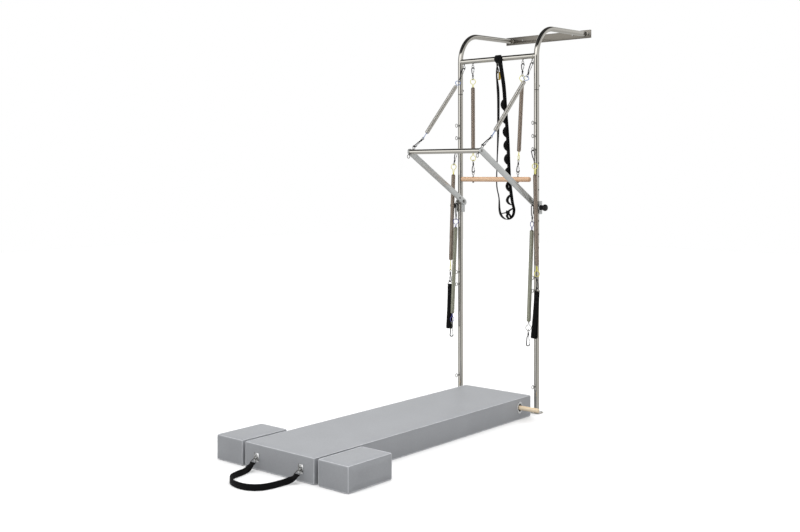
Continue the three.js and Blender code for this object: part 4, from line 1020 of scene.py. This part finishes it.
# %% [markdown]
# ## Roll-down bar and handle dowel
# Both are maple rods with eased ends. Each roll-down eye bolt passes through the bar and ends in an
# acorn nut below it. The grain runs along the bars, which the finish draws by stretching it on X.


# %% Wooden bars
def wooden_rod(bm, centre, length, diameter):
    r, half = diameter / 2, length / 2
    ends = [(0, -half), (r - 4, -half), (r - 1.2, -half + 1), (r, -half + 4)]
    profile = ends + [(radius, -height) for radius, height in reversed(ends)]
    put(bm, turned(profile, 48), Matrix.Translation(centre) @ turn_on("Y", 90))


bm = bmesh.new()
wooden_rod(bm, at(0, ROLL_Y, ROLL_BAR), 506, 30)
piece("wooden_roll_bar", bm, [bar_maple], "roll_down_bar", ["roll_down_bar"])
for side, sign in SIDES.items():
    bm = bmesh.new()
    x = sign * ROLL_EYE_X
    eye_bolt(bm, at(x, ROLL_Y, ROLL_BAR + 14.6), at(x, ROLL_Y, ROLL_BAR + ROLL_EYE_UP))
    nut = [(0, 0), (6.4, 0), (6.4, 3.4), (5, 6), (2.6, 7.6), (0, 8)]
    put(bm, turned(nut, 20), along(at(x, ROLL_Y, ROLL_BAR - 14.8), at(x, ROLL_Y, ROLL_BAR - 40)))
    piece(side + "_roll_eye_bolt", bm, [nickel], "roll_down_bar", [side + "_roll_eye"])

MAT_X, MAT_BACK, MAT_LENGTH, MAT_WIDTH, MAT_TALL = 66, -91, 1806, 478, 127
MAT_FRONT = MAT_BACK - MAT_LENGTH
DOWEL_Y, DOWEL_Z = MAT_BACK - 119, 70
bm = bmesh.new()
wooden_rod(bm, at(MAT_X, DOWEL_Y, DOWEL_Z), MAT_WIDTH + 256, 25)
piece("handle_rod", bm, [dowel_maple], "handle_dowel", ["dowel"])

# %% [markdown]
# ## Mat and side blocks
# Firm foam in a sewn vinyl cover: flat under, faintly crowned on top, with piped seams along its edges.
# A voxel remesh gives the cover even faces, and a cloth simulation blows it up a little against its own
# stretch. Its base and its seams stay pinned, and its movement is capped because the foam is hard.
# The piping comes afterwards and is laid on the finished surface. Its vinyl is painted lighter than the
# cover, as a painted highlight along the edges.

# %% Blow up a cover
VOXEL, SWELL, EASE = 6, 2.5, 3
CLOTH_FRAMES = 20
CLOTH = {
    "quality": 4, "mass": 0.3, "tension_stiffness": 30, "compression_stiffness": 30,
    "bending_stiffness": 1.5, "use_pressure": True, "uniform_pressure_force": 4,
    "vertex_group_mass": "seams",
}


def eased_block(width, length, tall):
    """A closed block on the floor with eased edges, smaller than the finished pad by the swell."""
    size = Vector((width - 2 * SWELL, length - 2 * SWELL, tall - SWELL))
    bm = box(size, (0, 0, size.z / 2))
    bevelled(bm, bm.edges[:], EASE, 3)
    return bm, size


def on_seam(point, size):
    """Whether a point, in metres, lies where two faces of the block meet, or on its base."""
    margin = VOXEL + 1
    p = point / MM
    sides = abs(p.x) > size.x / 2 - margin, abs(p.y) > size.y / 2 - margin
    return p.z < EASE or sum(sides) + (p.z > size.z - margin) + (p.z < margin) > 1


def settled(thing):
    """The object's mesh with its modifiers applied."""
    depsgraph = bpy.context.evaluated_depsgraph_get()
    return bpy.data.meshes.new_from_object(thing.evaluated_get(depsgraph))


def blown_up(bm, size):
    cover = bpy.data.objects.new("cover", bpy.data.meshes.new("cover"))
    scene.collection.objects.link(cover)
    bm.to_mesh(cover.data)
    even = cover.modifiers.new("even_faces", "REMESH")
    even.mode = "VOXEL"
    even.voxel_size = VOXEL * MM
    flat = settled(cover)
    cover.modifiers.clear()
    cover.data = flat
    seams = cover.vertex_groups.new(name="seams")
    seams.add([v.index for v in flat.vertices if on_seam(v.co, size)], 1, "REPLACE")
    cloth = cover.modifiers.new("cover_cloth", "CLOTH")
    for name, value in CLOTH.items():
        setattr(cloth.settings, name, value)
    cloth.settings.effector_weights.gravity = 0
    cloth.collision_settings.use_collision = False
    cloth.point_cache.frame_end = CLOTH_FRAMES
    for frame_number in range(1, CLOTH_FRAMES + 1):
        scene.frame_set(frame_number)
    swollen = settled(cover)
    scene.frame_set(1)
    blown = bmesh.new()
    blown.from_mesh(swollen)
    for vert, before in zip(blown.verts, flat.vertices):
        move = vert.co - before.co
        if move.length > SWELL * MM:
            vert.co = before.co + move.normalized() * SWELL * MM
        vert.co.z = max(0, vert.co.z)
    bpy.data.objects.remove(cover)
    return blown


# %% Cushions
PIPING = 2.4


def piping(bm, surface, corners, closed):
    """Lays a thin welt on the surface through the corners, in millimetres."""
    path = []
    for start, end in zip(corners, corners[1:] + corners[:1] * closed):
        steps = max(2, round((end - start).length / 12))
        path += [start.lerp(end, i / steps) for i in range(steps)]
    if not closed:
        path.append(corners[-1])
    laid = [surface.find_nearest(point * MM)[0] for point in path]
    wire(bm, laid, PIPING, closed, finish=1, count=8)


def cushion(name, node, place, width, length, tall):
    bm = blown_up(*eased_block(width, length, tall))
    surface = BVHTree.FromBMesh(bm)
    x, y = width / 2 - SWELL, length / 2 - SWELL
    around = [Vector((sx * x, sy * y, 0)) for sx, sy in ((1, -1), (1, 1), (-1, 1), (-1, -1))]
    for height in (3, tall - SWELL):
        piping(bm, surface, [corner + Vector((0, 0, height)) for corner in around], True)
    for corner in around:
        piping(bm, surface, [corner + Vector((0, 0, 6)), corner + Vector((0, 0, tall - 5))], False)
    bm.transform(place)
    # The second finish, for the piping, is the painted highlight along the edges.
    piece(name, bm, [grey_vinyl, welt_vinyl_painted_highlight], "frame", [node], 60)


BLOCK, BLOCK_GAP = (196, 305, 128), 18
middle = frame_at(MAT_X, (MAT_BACK + MAT_FRONT) / 2, 0)
cushion("mat_pad", "mat", middle, MAT_WIDTH, MAT_LENGTH, MAT_TALL)
for side, sign in SIDES.items():
    reach = MAT_WIDTH / 2 + BLOCK_GAP + BLOCK[0] / 2
    middle = frame_at(MAT_X + sign * reach, MAT_FRONT + BLOCK[1] / 2, 0)
    cushion(side + "_side_block", side + "_block", middle, *BLOCK)

# %% [markdown]
# ## Fittings on the mat
# Where the dowel passes through the mat, an oval chromed plate guards the vinyl and a black bush lines
# the hole. Two plates with eyes are screwed to its front end, and hold the foot strap's rings.

# %% Escutcheons and anchors
for side, sign in SIDES.items():
    bm = bmesh.new()
    face = at(MAT_X + sign * (MAT_WIDTH / 2 - 0.5), DOWEL_Y, DOWEL_Z)
    outward = along(face, face + Vector((sign, 0, 0)))
    oval = outward @ Matrix.Diagonal((26 / 35, 1, 1, 1))
    rim = [(23, 0), (35, 0), (35, 1.2), (32.4, 3), (28, 3.4), (25, 3), (23, 1.4)]
    put(bm, turned(rim, 48, closed=True), oval)
    bush = [(13.3, 0), (23.4, 0), (23.4, 1), (15, 1), (13.3, 0.6)]
    put(bm, turned(bush, 40, closed=True), oval, 1)
    finishes = [chrome, black_nylon]
    piece(side + "_oval_plate", bm, finishes, "frame", [side + "_escutcheon"])

ANCHOR_FACE = MAT_FRONT + 4 * 0.58 - 0.3
ANCHOR_X, ANCHOR_Z, ANCHOR_REACH = 152, 61.5, 9
ANCHOR_RING, ANCHOR_WIRE = 8, 4.5
for side, sign in SIDES.items():
    x = MAT_X + sign * ANCHOR_X
    bm = bmesh.new()
    slab(bm, at(x, ANCHOR_FACE - 2.4, ANCHOR_Z), (34, 4.8, 44), 1.2)
    for z in (ANCHOR_Z - 16, ANCHOR_Z + 16):
        pan_head(bm, at(x, ANCHOR_FACE - 4.6, z), at(x, ANCHOR_FACE - 20, z), 4, 1.8, 0)
    eye_place = frame_at(x, ANCHOR_FACE - ANCHOR_REACH, ANCHOR_Z) @ turn_on("Y", 90)
    ring(bm, eye_place, ANCHOR_RING, ANCHOR_WIRE, finish=1)
    piece(side + "_eye_plate", bm, [chrome, nickel], "frame", [side + "_anchor"])

# %% [markdown]
# ## Foot strap
# Padded webbing lies on its edge on the floor in a wide curve and turns flat where it is sewn round
# the two triangular rings. The route's points are the CAD's, with a curve filled in between them.

# %% Foot strap
FOOT_ROUTE = [
    (-150, -48, 27), (-144, -70, 19.5), (-135, -104, 16), (-128, -150, 16), (-112, -196, 16),
    (-70, -236, 16), (-6, -256, 16), (58, -252, 16), (104, -222, 16), (126, -176, 16),
    (134, -104, 16), (141, -70, 19.5), (149, -48, 27),
]
HEM = [(1, 1.5), (0, 3.6), (-2, 3.2), (-3, 0), (-1.4, -3.4), (1.6, -3.2)]
TRIANGLE_R, ROUTE_STEPS = 2, 5
TO_BAR = Vector((0, -17, -20))
seat = (ANCHOR_RING - ANCHOR_WIRE / 2 - TRIANGLE_R - 0.6) * sqrt(0.5)
pivots = [Vector((sign * ANCHOR_X, -ANCHOR_REACH - seat, ANCHOR_Z - seat)) for sign in SIDES.values()]
bars = [pivot + TO_BAR for pivot in pivots]
route = smooth_path([bars[0], *FOOT_ROUTE, bars[1]], ROUTE_STEPS)
ends = 3 * ROUTE_STEPS


def foot_across(here, i):
    share = min(1, min(i, len(route) - 1 - i) / ends)
    return Vector((-1, 0, 0)).lerp(Vector((0, 0, 1)), share * share * (3 - 2 * share))


def foot_place(p):
    return at(MAT_X + p.x, ANCHOR_FACE + p.y, p.z)


bm = bmesh.new()
strap(bm, [foot_place(p) for p in route], 31, 5, foot_across, edge=1.6)
for bar in bars:
    hem = [foot_place(bar + Vector((0, y, z))) for y, z in HEM]
    strap(bm, smooth_path(hem, 3, True), 31, 2.2, lambda here, i: SIDEWAYS, True)
piece("foot_webbing", bm, [black_webbing], "foot_strap", ["foot_strap"], 60)

for side, pivot in zip(SIDES, pivots):
    corners = [(-6, 0, 0), (6, 0, 0), (19, *TO_BAR.yz), (-19, *TO_BAR.yz)]
    bm = bmesh.new()
    wire(bm, [foot_place(pivot + Vector(c)) for c in corners], TRIANGLE_R, closed=True)
    piece(side + "_triangle_ring", bm, [nickel], "foot_strap")

# %% [markdown]
# ## Foot loops
# Each loop is webbing folded round a D-ring and sewn to itself, hanging as a narrow teardrop.

# %% Foot loops
TOP, BOTTOM = -20, -298
HALF_LOOP = [
    (4.5, TOP - 9), (5, TOP - 70), (7, (TOP + BOTTOM) / 2),
    (12, BOTTOM + 50), (15, BOTTOM + 14), (12, BOTTOM + 2.5),
]
mirrored = [(-y, z) for y, z in HALF_LOOP]
teardrop = [HALF_LOOP[0], (0, TOP), *mirrored, (0, BOTTOM), *HALF_LOOP[:0:-1]]
HALF_RING = [(4, -2), (14, -11), (18, -18), (18, -22)]
d_shape = [(-4, -2), (0, 0), *HALF_RING] + [(-x, z) for x, z in HALF_RING[:0:-1]]
STITCHES = (26, 34, 58, 66)

for side, place in leg_loops.items():
    body = side + "_leg_lower"
    across = place.to_3x3() @ SIDEWAYS
    path = smooth_path(moved(place, [(0, y, z) for y, z in teardrop]), 5, True)
    bm = bmesh.new()
    strap(bm, path, 30, 3, lambda here, i, way=across: way, True)
    for down_by in STITCHES:
        for y in (-6.9, 6.9):
            row = moved(place, [(x, y, TOP - down_by) for x in (-12, 12)])
            wire(bm, row, 0.5, finish=1, count=6)
    finishes = [black_webbing, thread]
    piece(side + "_foot_loop", bm, finishes, body, [side + "_leg_loop"], 60)

    bm = bmesh.new()
    wire(bm, moved(place, [(x, 0, z) for x, z in d_shape]), 2, closed=True)
    piece(side + "_d_ring", bm, [nickel], body)

# %% [markdown]
# ## Safety strap
# One long loop of webbing is slung over the crossbar. A second ribbon is sewn along its front strand
# in a chain of pockets, so that the bar can be clipped at any height. Both strands face the room at
# the top. The rear one turns its edge to the camera, the front one only a little towards its foot,
# which opens the last pockets to view. A webbing keeper holds the loop on the crossbar.

# %% Safety strap
STRAP_MIDDLE = [
    (-12, 18.6, 0), (-4, 14.4, 14.4), (9, 0, 19.8), (22, -14.4, 14.4), (31, -18.6, 0),
    (32, -10, -45), (32, 22, -169), (38, 32, -310), (49, 41, -500), (56, 48, -724), (69, 58, -871),
    (78, 66, -930), (70, 59, -972), (46, 39, -989), (22, 19, -972), (10, 9, -932),
    (4, 11, -857), (-10, 7, -779), (-9, 8, -652), (1, 6, -448), (4, 3, -220),
    (-13, 9, -95), (-12, 16, -30),
]
STRAP_STEPS = 8
FRONT_TWIST = [(0, 0), (130, 0.1), (400, 0.28), (830, 0.36), (960, 0.52)]
REAR_TWIST = [
    (0, 0.2), (40, 0.85), (100, 0.85), (180, 0.5), (420, 0.6), (600, 0.9), (860, 0.9), (960, 0.52),
]
POCKETS, FIRST_POCKET, POCKET_PITCH, POCKET_MOUTH = 10, 255, 84, 66
CLIP_POCKET, CLIP_MOUTH = 48, 44
strap_line = smooth_path(STRAP_MIDDLE, STRAP_STEPS, True)


def between(table, depth):
    """Reads a table of depth and value, straight between its rows."""
    for (d0, v0), (d1, v1) in zip(table, table[1:]):
        if depth <= d1:
            return v0 + (v1 - v0) * max(0, depth - d0) / (d1 - d0)
    return table[-1][1]


def strap_across(p):
    """The strap's width way: 0 of the twist faces the room, 1 is edge-on to the camera."""
    share = between(FRONT_TWIST if p.x > 20 else REAR_TWIST, -p.z)
    facing = radians(40)
    edge_on = Vector((sin(facing), -cos(facing), 0))
    return SIDEWAYS.lerp(edge_on, share).normalized()


def strap_place(p):
    return at(p.x, p.y, CROSSBAR + p.z)


def along_strap(line, distance):
    """Point, width and inward way at a distance along the strap's middle line."""
    for here, after in zip(line, line[1:]):
        step = after - here
        if distance <= step.length:
            break
        distance -= step.length
    tangent = step.normalized()
    spot = here + tangent * distance
    across = strap_across(spot)
    return spot, across, tangent.cross(across).normalized()


def pocket(bm, line, start, mouth, depth, steps=16):
    """A ribbon that bulges away from the strap between two seams."""
    stops, ways = [], []
    for i in range(steps + 1):
        spot, across, inward = along_strap(line, start + mouth * i / steps)
        stops.append(strap_place(spot + inward * depth * sin(pi * i / steps) ** 0.7))
        ways.append(across)
    strap(bm, stops, 28, 3, lambda here, i: ways[i])


bm = bmesh.new()
placed = [strap_place(p) for p in strap_line]
strap(bm, placed, 30, 3, lambda here, i: strap_across(strap_line[i]), True)
front_line = strap_line[4 * STRAP_STEPS :]
for i in range(POCKETS):
    depth = 26 if i < 7 else 36 + 6 * (i - 7)
    pocket(bm, front_line, FIRST_POCKET + POCKET_PITCH * i, POCKET_MOUTH, depth)
back_line = [strap_line[0]] + strap_line[::-1]
pocket(bm, back_line, CLIP_POCKET, CLIP_MOUTH, -10)
keeper = [strap_place(Vector((6, y, z))) for y, z in circle(22.5, 24)]
strap(bm, keeper, 30, 3, lambda here, i: SIDEWAYS, True)
piece("webbing_strap", bm, [black_webbing], "safety_strap", ["safety_strap"], 60)

# %% Clip on the strap
spot, across, inward = along_strap(back_line, CLIP_POCKET + CLIP_MOUTH - 11.5)
CLIP = [(-6, 0), (0, 1), (6, 0), (9, -5), (9, -38), (6, -45), (-6, -45), (-9, -38), (-9, -5)]


def on_clip(x, z):
    return strap_place(spot - inward * (12 + x) + Vector((0, 0, z)))


bm = bmesh.new()
wire(bm, [on_clip(x, z) for x, z in CLIP], 3.2, closed=True)
rod(bm, on_clip(7, -2), on_clip(7, -44), 7, edge=1.5)
piece("brass_clip", bm, [brass], "safety_strap", ["safety_clip"])

# %% [markdown]
# ## Studio
# A pale floor and an even sky, brighter overhead, show the mat's top lighter than its sides.
# Polished tube only looks like steel when there is something dark to reflect. So reflections pass
# through the floor and see soft panels, light and dark, round the set, with plain grey below them.
# The camera itself sees white.

# %% Floor, sky and lamp
floor_bm = bmesh.new()
bmesh.ops.create_grid(floor_bm, x_segments=1, y_segments=1, size=14)
floor_mesh = bpy.data.meshes.new("studio_floor")
floor_bm.to_mesh(floor_mesh)
floor_bm.free()
floor = bpy.data.objects.new("studio_floor", floor_mesh)
scene.collection.objects.link(floor)
paper, tree, surface = new_finish("paper_floor_pale", Roughness=0.9, Specular_IOR_Level=0.0)
seen = add(tree, "LightPath").outputs
paper_colour = blend_colour(tree, seen["Is Camera Ray"], linear("#b4b4b4"), linear("#f6f6f6"))
feed(tree, surface, Base_Color=paper_colour)
output = next(n for n in tree.nodes if n.type == "OUTPUT_MATERIAL")
clear = add(tree, "BsdfTransparent").outputs[0]
mixed = add(tree, "MixShader", {0: seen["Is Glossy Ray"], 1: surface.outputs[0], 2: clear})
feed(tree, output, Surface=mixed.outputs[0])
floor_mesh.materials.append(paper)

world = bpy.data.worlds.new("studio")
scene.world = world
world.use_nodes = True
tree = world.node_tree
tree.nodes.clear()
way = add(tree, "SeparateXYZ", {0: add(tree, "TexCoord").outputs["Generated"]}).outputs
rays = add(tree, "LightPath").outputs
sky = spread(tree, way["Z"], 0, 1, 0.4, 1.8)
turn = maths(tree, "ARCTAN2", way["Y"], way["X"])
panorama = add(tree, "ValToRGB", {"Fac": spread(tree, turn, -pi, pi, 0, 1)})
PANELS = [
    (0.0, 0.2), (0.105, 0.2), (0.12, 1.35), (0.262, 1.35), (0.28, 0.05), (0.382, 0.05), (0.395, 0.8),
    (0.5, 0.8), (0.57, 0.55), (0.66, 0.72), (0.85, 0.85), (0.93, 0.6), (0.95, 0.2), (1.0, 0.2),
]
ramp = panorama.color_ramp
while len(ramp.elements) < len(PANELS):
    ramp.elements.new(0.5)
for stop, (where, bright) in zip(ramp.elements, PANELS):
    stop.position = where
    stop.color = (bright, bright, bright * 0.985, 1)
ceiling = spread(tree, way["Z"], 0.5, 0.62, 1.0, 0.06)
walls = add(tree, "VectorMath", {0: panorama.outputs["Color"], "Scale": ceiling}, operation="SCALE")
ground = spread(tree, way["Z"], -0.26, -0.06, 1.0, 0.0)
in_metal = blend_colour(tree, ground, walls.outputs["Vector"], (0.55, 0.55, 0.54, 1))
lit = blend_colour(tree, rays["Is Glossy Ray"], (1, 1, 1, 1), in_metal)
diffuse = rays["Is Diffuse Ray"]
plain = maths(tree, "SUBTRACT", 1.0, diffuse)
strength = maths(tree, "ADD", maths(tree, "MULTIPLY", sky, diffuse), plain)
background = add(tree, "Background", {"Color": lit, "Strength": strength})
add(tree, "OutputWorld", {"Surface": background.outputs[0]})

key = bpy.data.lights.new("key", "AREA")
key.shape = "RECTANGLE"
key.size, key.size_y = 3, 2
key.energy = 26
key_light = bpy.data.objects.new("key", key)
key_light.matrix_world = along(at(1200, -3200, 3600), at(0, -600, 600)) @ turn_on("X", 180)
scene.collection.objects.link(key_light)
scene.view_settings.view_transform = "Standard"
